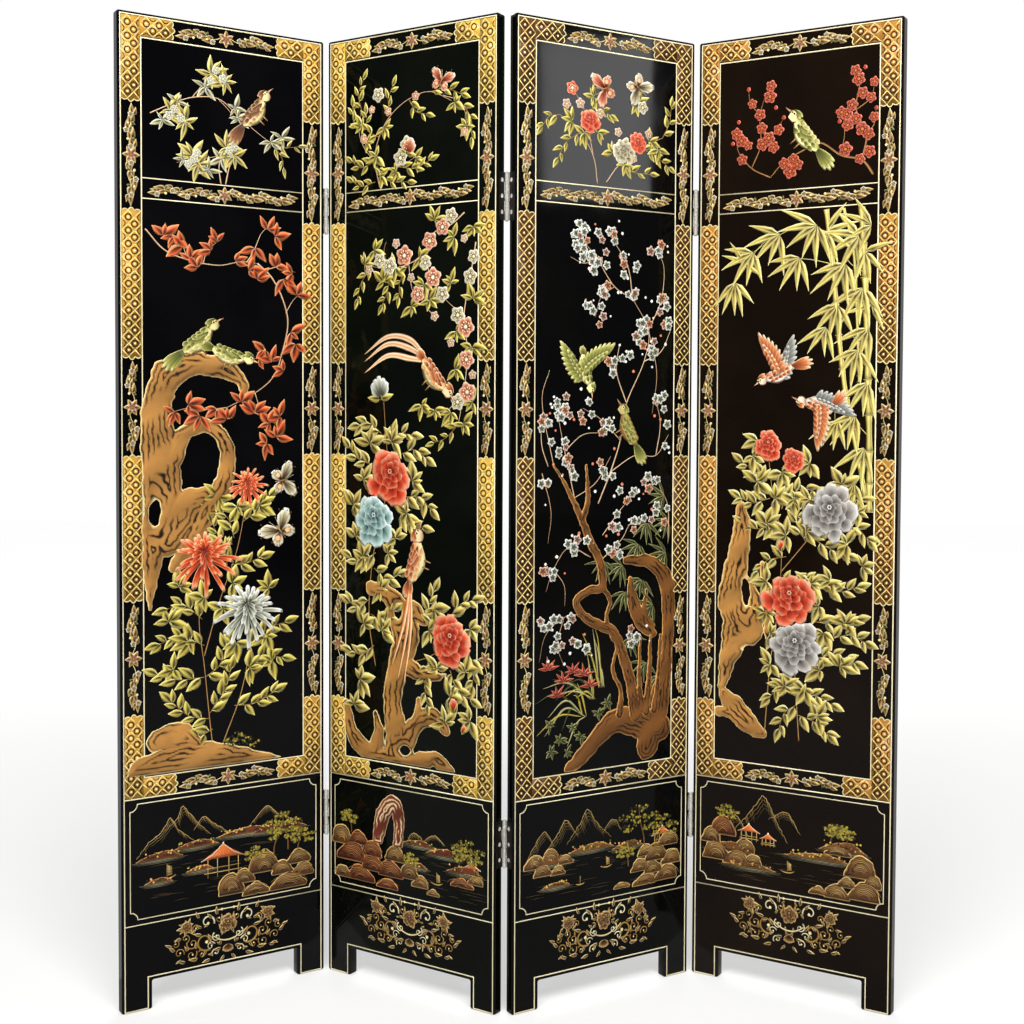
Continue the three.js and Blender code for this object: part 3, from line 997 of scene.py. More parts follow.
def draw_lines(panel):
    """All the gold lines of one front."""
    lines = Relief(3)
    view_bottom = VIEW_BOTTOMS[panel]
    rule = view_bottom + RULE_BELOW_VIEW
    edge_line(lines)
    gold_line(lines, [(INNER_LEFT, FIELD_TOP), (INNER_RIGHT, FIELD_TOP), (INNER_RIGHT, FIELD_BOTTOM),
        (INNER_LEFT, FIELD_BOTTOM)], close=True)
    for across in (STRIP_TOP, STRIP_BOTTOM):
        gold_line(lines, [(INNER_LEFT, across), (INNER_RIGHT, across)], 2.8)
    gold_line(lines, [(OUTER_LEFT, BAND_BOTTOM), (OUTER_RIGHT, BAND_BOTTOM)])
    gold_line(lines, [(OUTER_LEFT, rule), (OUTER_RIGHT, rule)], 2.8)
    gold_line(lines, hollow_corners(VIEW_LEFT, VIEW_TOP, VIEW_RIGHT, view_bottom, CORNER_HOLLOW), 2.6,
        close=True)
    return make_piece(lines, panel + "_gold_lines", panel, gold_paint)


for panel in PANEL_PLACES:
    draw_lines(panel)

# %% [markdown]
# ## The ring border
#
# Between the two frame lines lies an ochre-gold band with a lattice of crossing lines and a dark ring in
# each diamond, round a cream dot. It is interrupted by long black cartouches whose ends are scalloped. The
# band is laid out once in its own coordinates, across its width and along its length, and turned for the
# short sides.

# %% Lay out one stretch of the band
BAND_WIDTH = 34.6
RING_PITCH = 12.25
RING_COLUMNS = 3
RING_RADIUS = 6.8


class Stretch:
    """Turns across and along of a band into s and d: upright bands run down, level ones run right."""

    def __init__(self, edge, upright):
        self.edge = edge
        self.upright = upright

    def at(self, across, along):
        return (self.edge + across, along) if self.upright else (along, self.edge + across)


def scallop(stretch, along, outward, depth=4.5):
    """The three-lobed end of a band at a cartouche."""
    line = []
    for lobe, reach in ((0, 0.6), (1, 1.25), (2, 0.6)):
        for step in range(5):
            share = step / 4
            across = BAND_WIDTH * (lobe + share) / 3
            line.append(stretch.at(across, along + outward * depth * reach * math.sin(math.pi * share)))
    return line


def flat_patch(relief, outline, paint, level, thickness=0.06):
    """A thin filled shape."""
    outline = [np.array(p, float) for i, p in enumerate(outline) if np.linalg.norm(np.subtract(p,
        outline[i - 1])) > 1e-6]
    area = sum(a[0] * b[1] - b[0] * a[1] for a, b in zip(outline, outline[1:] + outline[:1]))
    if area > 0:
        outline = outline[::-1]
    count = len(outline)
    points = [(*p, level + thickness) for p in outline] + [(*p, level + UNDERSIDE) for p in outline]
    faces = [tuple(range(count)), tuple(range(2 * count - 1, count - 1, -1))]
    for i in range(count):
        n = (i + 1) % count
        faces.append((i, i + count, n + count, n))
    relief.add(points, faces, np.array([paint] * (2 * count)))


def ring_band(relief, stretch, start, end, scalloped_start, scalloped_end, shaded_ground):
    """Ground, lattice, rings and dots of one stretch. The ground's colour carries its panel's painted
    shade.
    """
    first = [stretch.at(0, start), stretch.at(BAND_WIDTH, start)]
    last = [stretch.at(0, end), stretch.at(BAND_WIDTH, end)]
    if scalloped_start:
        first = scallop(stretch, start, -1)
        stroke(relief, first, 2.4, CREAM * 0.8, CREAM, 0.12, step=50)
    if scalloped_end:
        last = scallop(stretch, end, 1)
        stroke(relief, last, 2.4, CREAM * 0.8, CREAM, 0.12, step=50)
    flat_patch(relief, first + last[::-1], shaded_ground, 0.0)
    rows = max(2, round((end - start) / RING_PITCH))
    pitch = (end - start) / rows
    step = BAND_WIDTH / RING_COLUMNS
    for row in range(rows + 1):
        for column in range(RING_COLUMNS + 1):
            centre = np.array(stretch.at(column * step, start + row * pitch))
            if (row + column) % 2:
                for other_column in (column - 1, column + 1):
                    if row < rows and 0 <= other_column <= RING_COLUMNS:
                        corner = stretch.at(other_column * step, start + (row + 1) * pitch)
                        thin(relief, [centre, corner], 2.3, LATTICE_GOLD, 0.08, 0.85)
                continue
            if row in (0, rows):
                continue
            if 0 < column < RING_COLUMNS:
                ring(relief, centre, RING_RADIUS, RING_BROWN * 1.4, RING_BROWN, 0.12)
                dot(relief, centre, 2.3, CREAM * 0.75, CREAM, 0.14)
            else:
                inward = 1 if column == 0 else -1
                arc = [stretch.at(column * step + inward * (1.2 + 4.6 * math.sin(a)),
                    start + row * pitch - 5.6 * math.cos(a)) for a in np.linspace(0.15, math.pi - 0.15, 6)]
                thin(relief, arc, 1.9, RING_BROWN, 0.12, 1.4)


# %% Cartouche scroll
def blossom(relief, place, radius, look, turn=90.0, level=0.3, petals=5, heart=CREAM, width=0.84):
    """Petals round a heart, each lapping over the last."""
    for k in range(petals):
        angle = turn + 360 * k / petals
        print_stamp(relief, PETAL_STAMP, place, angle, radius, radius * width, look,
            level + 0.02 * (k % 2))
    if radius > 7:
        for k in range(petals * 2):
            angle = turn + 18 + 180 * k / petals
            tip = np.asarray(place) + turned(angle) * radius * 0.42
            thin(relief, [place, tip], [0.5, 0.8], heart * 0.7, level + 0.26, 1)
            dot(relief, tip, radius * 0.05 + 0.35, heart, heart, level + 0.28)
    dot(relief, place, radius * 0.17 + 0.3, heart * 0.7, heart, level + 0.25)


def vine(relief, stretch, start, end, look, rng):
    """A wavy stem with curling leaves on both sides and a flower at its middle."""
    middle = BAND_WIDTH / 2
    waves = max(3, round((end - start) / 30))
    along = np.linspace(start + 9, end - 9, waves * 6 + 1)
    across = middle + 4.2 * np.sin(np.linspace(0, waves * math.pi, len(along)))
    stem = [stretch.at(c, a) for c, a in zip(across, along)]
    sweep(relief, stem, [0.9, 1.6, 1.9, 1.6, 0.9], LINE, [GOLD_DEEP, CREAM, GOLD_DEEP], level=0.02)
    centre_along = (start + end) / 2
    heading = -90 if stretch.upright else 0
    for i in range(3, len(along) - 2, 3):
        if abs(along[i] - centre_along) < 14:
            continue
        side = 1 if (i // 3) % 2 else -1
        spot = np.array(stretch.at(across[i], along[i]))
        away = 1 if along[i] > centre_along else -1
        length = rng.uniform(16.5, 20.0)
        base = heading if away > 0 else heading + 180
        leaf(relief, spot, base + side * 38, length, look, 0.06, 0.62, -0.55 * side)
        leaf(relief, spot, base - side * 46, length * 0.72, look, 0.08, 0.66, 0.5 * side)
        leaf(relief, spot, base + side * 112, length * 0.5, LEAF_DARK, 0.04, 0.7)
        if (i // 3) % 2:
            blossom(relief, spot + turned(base + side * 80) * 4.5, 6.2, PETAL_CREAM, 90, 0.14,
                heart=GOLD_DEEP)
        else:
            dot(relief, spot + turned(base - side * 100) * 6, 2.6, CREAM, CREAM, 0.12)
    centre = np.array(stretch.at(middle, centre_along))
    for k in range(6):
        leaf(relief, centre, heading + 30 + 60 * k, 16.5, look, 0.1, 0.6)
    blossom(relief, centre, 10.5, PETAL_PINK, 90, 0.14, heart=GOLD_DEEP)


# %% Paint the border of each panel
TOP_CARTOUCHE = (102.0, 311.0)
SIDE_CARTOUCHES = ((156.0, 357.0), (621.0, 805.0), (1065.0, 1282.0))
BAND_GAP = 2.0

# The band's ochre ground on each panel. The much darker brown of the third panel and the browner tone of
# the fourth are painted shade, for the dimmer light those two panels stand in.
SHADED_GROUNDS = {"panel_1": pot(196, 146, 56), "panel_2": pot(204, 162, 62), "panel_3": pot(96, 60, 28),
    "panel_4": pot(178, 122, 52)}

left_band = Stretch(OUTER_LEFT + 1.7, True)
right_band = Stretch(INNER_RIGHT + 1.7, True)
top_band = Stretch(BAND_TOP + 1.7, False)
low_band = Stretch(FIELD_BOTTOM + 1.7, False)


def paint_border(panel, seed):
    """The ring band and the scrolls of one panel; the scrolls are drawn afresh, as by hand."""
    band = Relief(seed)
    scrolls = Relief(seed + 20)
    for upright in (left_band, right_band):
        edges = [BAND_TOP + BAND_GAP, *[d for pair in SIDE_CARTOUCHES for d in pair],
            BAND_BOTTOM - BAND_GAP]
        for i in range(0, len(edges), 2):
            ring_band(band, upright, edges[i], edges[i + 1], i > 0, i < len(edges) - 2, SHADED_GROUNDS[panel])
        for start, end in SIDE_CARTOUCHES:
            vine(scrolls, upright, start + 5, end - 5, SCROLL, scrolls.rng)
    for level_band in (top_band, low_band):
        ring_band(band, level_band, OUTER_LEFT + 1.7 + BAND_WIDTH, TOP_CARTOUCHE[0], False, True,
            SHADED_GROUNDS[panel])
        ring_band(band, level_band, TOP_CARTOUCHE[1], INNER_RIGHT + 1.7, True, False, SHADED_GROUNDS[panel])
        vine(scrolls, level_band, TOP_CARTOUCHE[0] + 5, TOP_CARTOUCHE[1] - 5, SCROLL, scrolls.rng)
    strip = Stretch(STRIP_TOP + 1.2, False)
    vine(scrolls, strip, INNER_LEFT + 6, INNER_RIGHT - 6, SCROLL, scrolls.rng)
    make_piece(band, panel + "_ring_border", panel, gold_paint)
    make_piece(scrolls, panel + "_gold_scrolls", panel, gold_paint)


for number, panel in enumerate(PANEL_PLACES):
    paint_border(panel, number + 1)

# %% [markdown]
# ## Motifs of the pictures
#
# The pictures are the traditional bird-and-flower and river subjects of such screens. Each motif below is
# a small recipe of strokes and prints: a painter learns them in the same way, as a set of brush movements,
# and varies them every time. Pale edges against dark hearts are what gives them their jewelled look on
# black.

# %% Leaves along a stem
def leafy_stem(relief, points, size, look, gap=13.0, spread_angle=50.0, stem=GOLD_DEEP, level=0.06,
        thick=1.8, width=0.46):
    """A thin stem with leaves to both sides, smaller towards its end."""
    vary = relief.rng.uniform
    path = curve_through(points, 4)
    thin(relief, path, [thick, thick * 0.5], stem, level - 0.04)
    lengths = np.concatenate([[0], np.cumsum(np.linalg.norm(np.diff(path, axis=0), axis=1))])
    total = lengths[-1]
    side = relief.rng.choice((1, -1))
    reach = gap * 0.6
    while reach < total - 2:
        place = np.array([np.interp(reach, lengths, path[:, k]) for k in (0, 1)])
        ahead = np.array([np.interp(min(total, reach + 4), lengths, path[:, k]) for k in (0, 1)])
        heading = math.degrees(math.atan2(place[1] - ahead[1], ahead[0] - place[0]))
        scale = vary(0.8, 1.12) * (1 - 0.25 * reach / total)
        turn = side * vary(spread_angle * 0.7, spread_angle * 1.2)
        leaf(relief, place, heading + turn, size * scale, look, level + vary(0, 0.12), width,
            -side * vary(0.05, 0.3))
        side = -side
        reach += gap * vary(0.75, 1.2)
    ahead = path[-1] - path[-2]
    heading = math.degrees(math.atan2(-ahead[1], ahead[0]))
    leaf(relief, path[-1], heading, size * 0.9, look, level + 0.1, width)


def leaf_rosette(relief, place, size, look, count=6, level=0.08, turn=None, width=0.46, share=360.0):
    """Leaves that radiate from one point, over a share of the circle."""
    vary = relief.rng.uniform
    start = vary(0, 360) if turn is None else turn
    for k in range(count):
        angle = start + share * k / count + vary(-14, 14)
        leaf(relief, place, angle, size * vary(0.65, 1.25), look, level + 0.03 * (k % 3),
            width * vary(0.8, 1.15), vary(-0.25, 0.25))


def twigs(relief, *lines, look):
    """Woody twigs that thin to their tips, each a width followed by the points it runs through."""
    for width, *points in lines:
        limb(relief, points, [width, width * 0.75, width * 0.35], look)


def stems(relief, size, look, *lines, gap=13.0, width=0.46, stem=GOLD_DEEP):
    """Several leafy stems of one kind."""
    for points in lines:
        leafy_stem(relief, points, size, look, gap, width=width, stem=stem)


def leaf_groups(relief, size, look, count, spots, level=0.1, share=250.0, width=0.46):
    """Groups of leaves of one kind at several places."""
    for spot in spots:
        leaf_rosette(relief, spot, size, look, count, level, None, width, share)


# %% Flowers
def blossoms(relief, radius, look, spots, level=0.34, heart=CREAM):
    """Open blossoms of one kind, each turned and sized a little differently."""
    for spot in spots:
        blossom(relief, spot, radius * relief.rng.uniform(0.88, 1.12), look, relief.rng.uniform(0, 72),
            level, heart=heart)


def bud(relief, place, angle, size, look, level=0.3):
    """A closed bud in two green sepals."""
    print_stamp(relief, PETAL_STAMP, place, angle, size, size * 0.7, look, level)
    print_stamp(relief, PETAL_STAMP, place, angle + 14, size * 0.85, size * 0.42, look, level + 0.08)
    leaf(relief, place, angle + 38, size * 0.7, LEAF, level + 0.1, 0.4, -0.2)
    leaf(relief, place, angle - 38, size * 0.7, LEAF, level + 0.1, 0.4, 0.2)


def peony(relief, place, radius, look, level=0.3, turn=0.0):
    """Rings of ruffled petals, each ring set into the dark hearts of the one outside it."""
    vary = relief.rng.uniform
    centre = np.array(place, float)
    rings = ((9, 0.30, 0.74, 0.74), (8, 0.20, 0.64, 0.68), (6, 0.12, 0.54, 0.62), (5, 0.05, 0.44, 0.52),
        (4, 0.0, 0.34, 0.40))
    for number, (count, out, length, width) in enumerate(rings):
        middle = centre + (0, -0.06 * radius * number)
        deeper = Look(look.rim * (1 - 0.07 * number), look.body * (1 - 0.07 * number), look.heart)
        for k in range(count):
            angle = turn + 360 * (k + 0.5 * (number % 2)) / count + vary(-13, 13)
            base = middle + turned(angle) * radius * out * vary(0.6, 1.15)
            print_stamp(relief, PETAL_STAMP, base, angle + vary(-12, 12), radius * length * vary(0.78,
                1.12), radius * width * vary(0.75, 1.15), deeper, level + 0.10 * number + 0.03 * (k % 3),
                vary(-0.25, 0.25), 0.45)
    for k in range(6):
        spot = centre + (0, -0.24 * radius) + turned(60 * k) * radius * 0.06
        dot(relief, spot, radius * 0.035, look.heart, look.rim * 0.8, level + 0.72)


def chrysanthemum(relief, place, radius, look, level=0.3):
    """Long blunt ray petals that droop at their ends, round a ball of petals that still curl in."""
    vary = relief.rng.uniform
    centre = np.array(place, float)
    rows = ((13, 1.0, 0.13, 0.0), (12, 0.82, 0.13, 0.02), (11, 0.62, 0.14, 0.1), (9, 0.46, 0.15, 0.2),
        (7, 0.34, 0.14, 0.26), (5, 0.22, 0.12, 0.3))
    for number, (count, length, width, up) in enumerate(rows):
        for k in range(count):
            angle = 360 * (k + 0.5 * (number % 2)) / count + vary(-7, 7)
            low = 1.12 if 180 < angle % 360 < 360 else 0.9
            droop = -0.34 * math.cos(math.radians(angle)) + vary(-0.14, 0.14)
            base = centre - (0, up * radius) + turned(angle) * radius * 0.05
            print_stamp(relief, RAY_STAMP, base, angle - 60 * droop, radius * length * low * vary(0.78,
                1.06), radius * width, look, level + 0.09 * number + 0.02 * (k % 3), droop, 0.4)


def magnolia(relief, place, radius, look, angle=90.0, level=0.3):
    """An upright cup of long petals over two broad leaves."""
    for turn in (-100, 100):
        leaf(relief, place, angle + turn, radius * 1.3, LEAF, level, 0.5, -0.003 * turn)
    for k, turn in enumerate((-44, 44, -22, 22, 0)):
        print_stamp(relief, PETAL_STAMP, place, angle + turn, radius * (1.9 - 0.008 * abs(turn)),
            radius * 0.85, look, level + 0.05 * k, -0.004 * turn, 0.45)
    dot(relief, place, radius * 0.2, LEAF.body, LEAF.heart, level + 0.3)


# %% Birds
def tail_feathers(relief, base, angle, length, width, look, count, fan, level):
    """A fan of long feathers, the middle ones longest."""
    for k in range(count):
        turn = fan * (k - (count - 1) / 2)
        print_stamp(relief, FEATHER_STAMP, base, angle + turn, length * (1 - 0.06 * abs(turn) / 5), width,
            look, level + 0.03 * k)


def wing(relief, root, angle, span, look, side, level=0.4, folded=False):
    """An arm of long flight feathers that turn back towards the body, with short coverts over them."""
    root = np.asarray(root, float)
    arm = 0.12 if folded else 0.42
    fan = 5.0 if folded else 9.0
    for row, (count, reach, wide, lift) in enumerate(((9, 0.62, 0.13, 0.0), (7, 0.34, 0.12, 0.2),
            (5, 0.2, 0.11, 0.36))):
        tone = look if row != 1 else Look(look.rim, look.heart, look.body)
        for k in range(count):
            share = k / (count - 1)
            base = root + turned(angle) * span * arm * (1 - share)
            print_stamp(relief, FEATHER_STAMP, base, angle + side * (4 + fan * k),
                span * reach * (1 - 0.35 * share), span * wide, tone, level + lift + 0.015 * k,
                -0.06 * side, 0.2)


def bird(relief, place, angle, size, look, belly, wings=None, level=0.3, flip=1, tail=1.0, tail_turn=0.0,
        far=None):
    """A bird from beak to tail: place is the middle of its body, angle is where its head points, flip is 1
    with its back to the left of that and -1 to the right. wings are the directions of two open wings."""
    far = look if far is None else far
    middle = np.array(place, float)
    ahead, up = turned(angle), turned(angle + 90 * flip)
    neck = middle + ahead * size * 0.34 + up * size * 0.05
    rump = middle - ahead * size * 0.42
    tail_feathers(relief, rump + ahead * size * 0.08, angle + 180 + tail_turn, size * 0.75 * tail,
        size * 0.13, look, 4, 9, level - 0.04)
    if wings:
        wing(relief, middle + ahead * size * 0.1, wings[1], size * 1.15, far, flip, level - 0.02)
    body = curve_through([rump, middle - up * size * 0.05, middle + ahead * size * 0.2, neck], size * 0.06)
    back, front = (look.body, belly) if flip > 0 else (belly, look.body)
    sweep(relief, body, np.array([0.12, 0.28, 0.38, 0.40, 0.33, 0.20]) * size, LIMB,
        [look.heart, back, (back + front) / 2, front, front * 0.8], level=level + 0.12)
    for row in range(5):
        for across in (-1, 0, 1):
            spot = middle + ahead * size * (0.28 - 0.12 * row) + up * size * 0.10 * across
            tone = look if across * flip >= 0 else Look(belly, belly * 0.8, look.body)
            print_stamp(relief, FEATHER_STAMP, spot, angle + 180, size * 0.17, size * 0.10, tone,
                level + 0.42, rise=0.12)
    if wings:
        wing(relief, middle + ahead * size * 0.12, wings[0], size * 1.2, look, flip, level + 0.3)
    else:
        wing(relief, middle + ahead * size * 0.2 + up * size * 0.04, angle + 180 - 6 * flip, size * 0.72,
            look, flip, level + 0.3, folded=True)
    head = neck + ahead * size * 0.12
    dot(relief, head, size * 0.14, look.heart, (look.rim + belly) / 2, level + 0.3, 0.4)
    for across in (0.02, 0.08):
        crown = head + ahead * size * 0.11 + up * size * across
        print_stamp(relief, FEATHER_STAMP, crown, angle + 180 - 14 * flip, size * 0.27, size * 0.10, look,
            level + 0.5, 0.1 * flip, 0.16)
    beak = head + ahead * size * 0.13
    sweep(relief, [beak, beak + turned(angle - 8 * flip) * size * 0.15], [size * 0.07, 0.2], LINE,
        [BARK_DARK, PETAL_ORANGE.rim, BARK_DARK], level=level + 0.4)
    eye = head + up * size * 0.035 + ahead * size * 0.04
    dot(relief, eye, size * 0.042, CREAM, CREAM, level + 0.62)
    dot(relief, eye, size * 0.022, BLACK, BLACK, level + 0.82)
    if not wings:
        for step in (-0.05, 0.08):
            foot = middle - up * size * 0.2 + ahead * size * step
            sweep(relief, [foot, foot - up * size * 0.16], [size * 0.05, size * 0.03], LINE,
                [BARK_DARK, BARK_LIGHT, BARK_DARK], level=level + 0.1)


def butterfly(relief, place, angle, size, look, level=0.3):
    """A butterfly from above: hind wings with a bright spot, fore wings, veins, body and feelers."""
    middle = np.array(place, float)
    for turn, reach, wide in ((-122, 0.66, 0.5), (122, 0.66, 0.5), (-52, 1.0, 0.56), (52, 1.0, 0.56)):
        heading = angle + turn
        print_stamp(relief, PETAL_STAMP, middle, heading, size * reach, size * wide, look, level,
            0.001 * turn, 0.4)
        if reach < 1:
            dot(relief, middle + turned(heading) * size * 0.3, size * 0.12, PETAL_ORANGE.body,
                PETAL_ORANGE.rim, level + 0.3)
        for vein in (-15, 0, 15):
            tip = middle + turned(heading + vein) * size * reach * 0.82
            thin(relief, [middle, tip], [1.3, 0.6], look.heart, level + 0.3, 1)
        for spot in (-18, -6, 6, 18):
            dot(relief, middle + turned(heading + spot) * size * reach * 0.84, size * 0.03, BARK_DARK,
                BARK, level + 0.34)
    for lean in (-16, 14):
        tip = middle + turned(angle + lean) * size * 0.6
        stroke(relief, [middle, (middle + tip) / 2 + (1, 0), tip], 0.8, GOLD_DEEP, GOLD, level + 0.1,
            step=3)
    sweep(relief, [middle - turned(angle) * size * 0.34, middle + turned(angle) * size * 0.26],
        [size * 0.05, size * 0.12, size * 0.09], LINE, [BARK_DARK, BARK_LIGHT, BARK_DARK],
        level=level + 0.4)


# %% Rocks
def rock(relief, strands, look, level=0.0, holes=(), cell=2.2, layer=10.0, sink=FIELD_BOTTOM - 3):
    """A weathered rock: its strands merged into one mass, less its holes, cut level at sink. Every edge is
    caught by the light from above, and dark strata repeat it at every layer's depth."""
    spans = []
    for points, widths in strands:
        path = curve_through(points, max(1.5, cell))
        spans.append(np.column_stack([path, spread(widths, len(path)) / 2]))
    spans = np.concatenate(spans)
    low = (spans[:, :2] - spans[:, 2:]).min(0) - 3 * cell
    high = (spans[:, :2] + spans[:, 2:]).max(0) + 3 * cell
    s, d = np.meshgrid(np.arange(low[0], high[0], cell), np.arange(low[1], high[1], cell), indexing="ij")
    depth = np.full(s.shape, -99.0)
    for middle_s, middle_d, radius in spans:
        depth = np.maximum(depth, radius - np.hypot(s - middle_s, d - middle_d))
    for hole_s, hole_d, wide, tall in holes:
        inside = np.hypot((s - hole_s) / wide, (d - hole_d) / tall) - 1
        depth = np.minimum(depth, inside * min(wide, tall))
    phase = [relief.rng.uniform(0, 6.28) for _ in range(4)]
    u, v = s / layer, d / layer
    grain = np.sin(1.4 * u + 1.7 * np.sin(0.9 * v + phase[0]) + phase[1])
    grain += 0.6 * np.sin(2.9 * v + 1.5 * np.sin(1.7 * u + phase[2]) + phase[3])
    depth = np.minimum(depth + 0.11 * layer * grain, sink - d)
    slope_s, slope_d = np.gradient(depth, cell)
    near = np.exp(-np.clip(depth, 0, None) / layer)
    light = 0.92 + 0.14 * np.sin(0.8 * v + 0.3 * u + phase[2])
    light += 0.6 * near * np.clip(0.5 * slope_s + 0.8 * slope_d, -1, 1)
    strata = np.abs(2 * ((depth / layer + 0.05 * grain + 0.02 * v) % 1) - 1)
    strata = np.clip((strata - 0.58) / 0.2, 0, 1)
    strata *= np.clip(1.5 + 1.3 * np.sin(0.45 * u + 0.6 * v + phase[0]) - 0.3 * depth / layer, 0, 1)

    corners, seen, faces = [], {}, []

    def mark(first, second):
        if (first, second) not in seen:
            share = depth[first] / (depth[first] - depth[second]) if second != first else 0.0
            seen[first, second] = len(corners)
            corners.append([field[first] * (1 - share) + field[second] * share for field in (s, d, depth,
                light, strata)])
        return seen[first, second]

    solid = depth > 0
    cells = solid[:-1, :-1] | solid[1:, :-1] | solid[:-1, 1:] | solid[1:, 1:]
    for i, j in zip(*(index.tolist() for index in np.nonzero(cells))):
        loop = ((i, j), (i, j + 1), (i + 1, j + 1), (i + 1, j))
        face = []
        for here, after in zip(loop, loop[1:] + loop[:1]):
            if solid[here]:
                face.append(mark(here, here))
                if not solid[after]:
                    face.append(mark(here, after))
            elif solid[after]:
                face.append(mark(after, here))
        if len(face) > 2:
            faces.append(tuple(face))
    corners = np.array(corners)
    depths, lights, bands = corners[:, 2:3], corners[:, 3:4], corners[:, 4:5]
    heights = level + UNDERSIDE + np.where(depths > 0.01,
        0.14 + 0.36 * (1 - np.exp(-depths / layer)) - 0.08 * bands, 0)
    edge = np.clip(1.3 - depths / (0.22 * layer), 0, 1)
    paints = look.body * lights
    paints = paints * (1 - bands) + look.heart * bands
    paints = paints * (1 - edge) + look.rim * np.clip(lights, 0.5, 1.2) * edge
    under = np.where(depths[:, 0] > 0.01, np.arange(len(corners)) + len(corners), np.arange(len(corners)))
    floor_points = np.column_stack([corners[:, :2], np.full(len(corners), level + UNDERSIDE)])
    points = np.vstack([np.column_stack([corners[:, :2], heights]), floor_points])
    faces += [tuple(int(under[i]) for i in reversed(face)) for face in faces]
    used = np.unique(np.concatenate([np.array(face) for face in faces]))
    fresh = np.full(len(points), -1)
    fresh[used] = np.arange(len(used))
    relief.add(points[used], [tuple(int(fresh[i]) for i in face) for face in faces],
        np.vstack([paints, paints])[used])


# %% Bamboo and grasses
def culm(relief, points, width, look, level=0.05, joint=62.0):
    """A bamboo stem in lengths, each a little waisted, with a pale ring at every node."""
    path = curve_through(points, 4)
    lengths = np.concatenate([[0], np.cumsum(np.linalg.norm(np.diff(path, axis=0), axis=1))])
    start = 0.0
    while start < lengths[-1] - 8:
        end = min(lengths[-1], start + joint * relief.rng.uniform(0.85, 1.15))
        shares = np.linspace(start, end - 1.2, 7)
        line = np.stack([np.interp(shares, lengths, path[:, k]) for k in (0, 1)], 1)
        sweep(relief, line, [width * 1.12, width * 0.9, width * 0.88, width * 0.92, width * 1.15], LIMB,
            [look.rim, look.body, look.rim * 0.9, look.body, look.heart], level=level)
        run = line[-1] - line[-2]
        run /= np.linalg.norm(run)
        across = np.array([run[1], -run[0]]) * width * 0.66
        sweep(relief, [line[-1] + across, line[-1] - across], 1.7, LINE, [look.heart, CREAM, look.heart],
            level=level + 0.2)
        start = end


def lances(relief, place, angles, length, look, level=0.15, width=0.19, bend=0.12):
    """A spray of narrow leaves from one point."""
    for k, angle in enumerate(angles):
        reach = length * relief.rng.uniform(0.8, 1.1)
        side = 1 if math.cos(math.radians(angle)) < 0 else -1
        print_stamp(relief, LANCE_STAMP, place, angle, reach, length * width, look, level + 0.03 * (k % 4),
            side * bend * relief.rng.uniform(0.2, 1.4), rise=0.2)


# %% Landscape motifs
def jagged(relief, points, amount, step=5.0):
    """A line through points with the small breaks of a rocky edge."""
    path = curve_through(points, step)
    path[1:-1] += [[relief.rng.uniform(-amount, amount) for _ in range(2)] for _ in path[1:-1]]
    return path


def peak(relief, points, paint, drop, level=0.0):
    """A mountain: its broken ridge line, drawn again lower down, and short strokes of shade that fade."""
    vary = relief.rng.uniform
    path = jagged(relief, points, 1.4)
    thin(relief, path, [0.8, 1.9, 1.9, 0.8], paint, level)
    for number in range(1, 4):
        inset = int(len(path) * 0.11 * number)
        echo = path[inset:len(path) - inset] + (1.5 * number, drop * 0.13 * number)
        if len(echo) > 3:
            tone = paint * (0.62 - 0.15 * number)
            thin(relief, echo, [0.4, 1.5, 1.5, 0.4], tone, level)
    for _ in range(9):
        start = path[int(vary(0.15, 0.85) * len(path))]
        fall = drop * vary(0.2, 0.6)
        end = start + (fall * vary(0.1, 0.5), fall)
        down = jagged(relief, [start, (start + end) / 2, end], 0.8)
        sweep(relief, down, [2.8, 1.8, 0.5], LINE, [paint * 0.34] * 3, [paint * 0.05] * 3, level - 0.02)


def shore(relief, left, right, water, height, look, level=0.0):
    """An island seen across water: a low striped bank, dabs of growth on it, and its pale waterline."""
    vary = relief.rng.uniform
    wide = right - left
    path = [(left + 3, water), (left + wide * 0.28, water - height * 0.35), (left + wide * 0.62,
        water - height * 0.5), (right - 3, water)]
    rock(relief, [(path, [3, height * 0.9, height * 1.3, 3])], look, level, cell=1.6, layer=3.6,
        sink=water)
    for k in range(3):
        inset = wide * 0.07 * k * vary(0.4, 1.3)
        down = water + 1.2 + 2.4 * k
        thin(relief, [(left - 6 + inset, down), ((left + right) / 2, down + 0.5),
            (right + 6 - inset, down)], [0.4, 1.7, 0.4], LAND_PALE * (0.62 - 0.2 * k), level, 1)
    for _ in range(int(wide / 5)):
        across = vary(left + wide * 0.1, right - wide * 0.1)
        spot = (across, water - height * vary(0.3, 1.1))
        tone = relief.rng.choice((LEAF.body, LEAF_DARK.body, look.rim, LEAF_DARK.heart))
        dot(relief, spot, vary(1.2, 2.6), tone * 0.6, tone, level + 0.3)


def ripples(relief, left, right, top, bottom, count, paint):
    vary = relief.rng.uniform
    for k in range(count):
        middle = vary(left, right)
        reach = vary(8, 26)
        down = vary(top, bottom)
        thin(relief, [(middle - reach, down), (middle, down - 0.8), (middle + reach, down)],
            [0.3, 0.9, 0.3], paint * 0.45, edge=1)


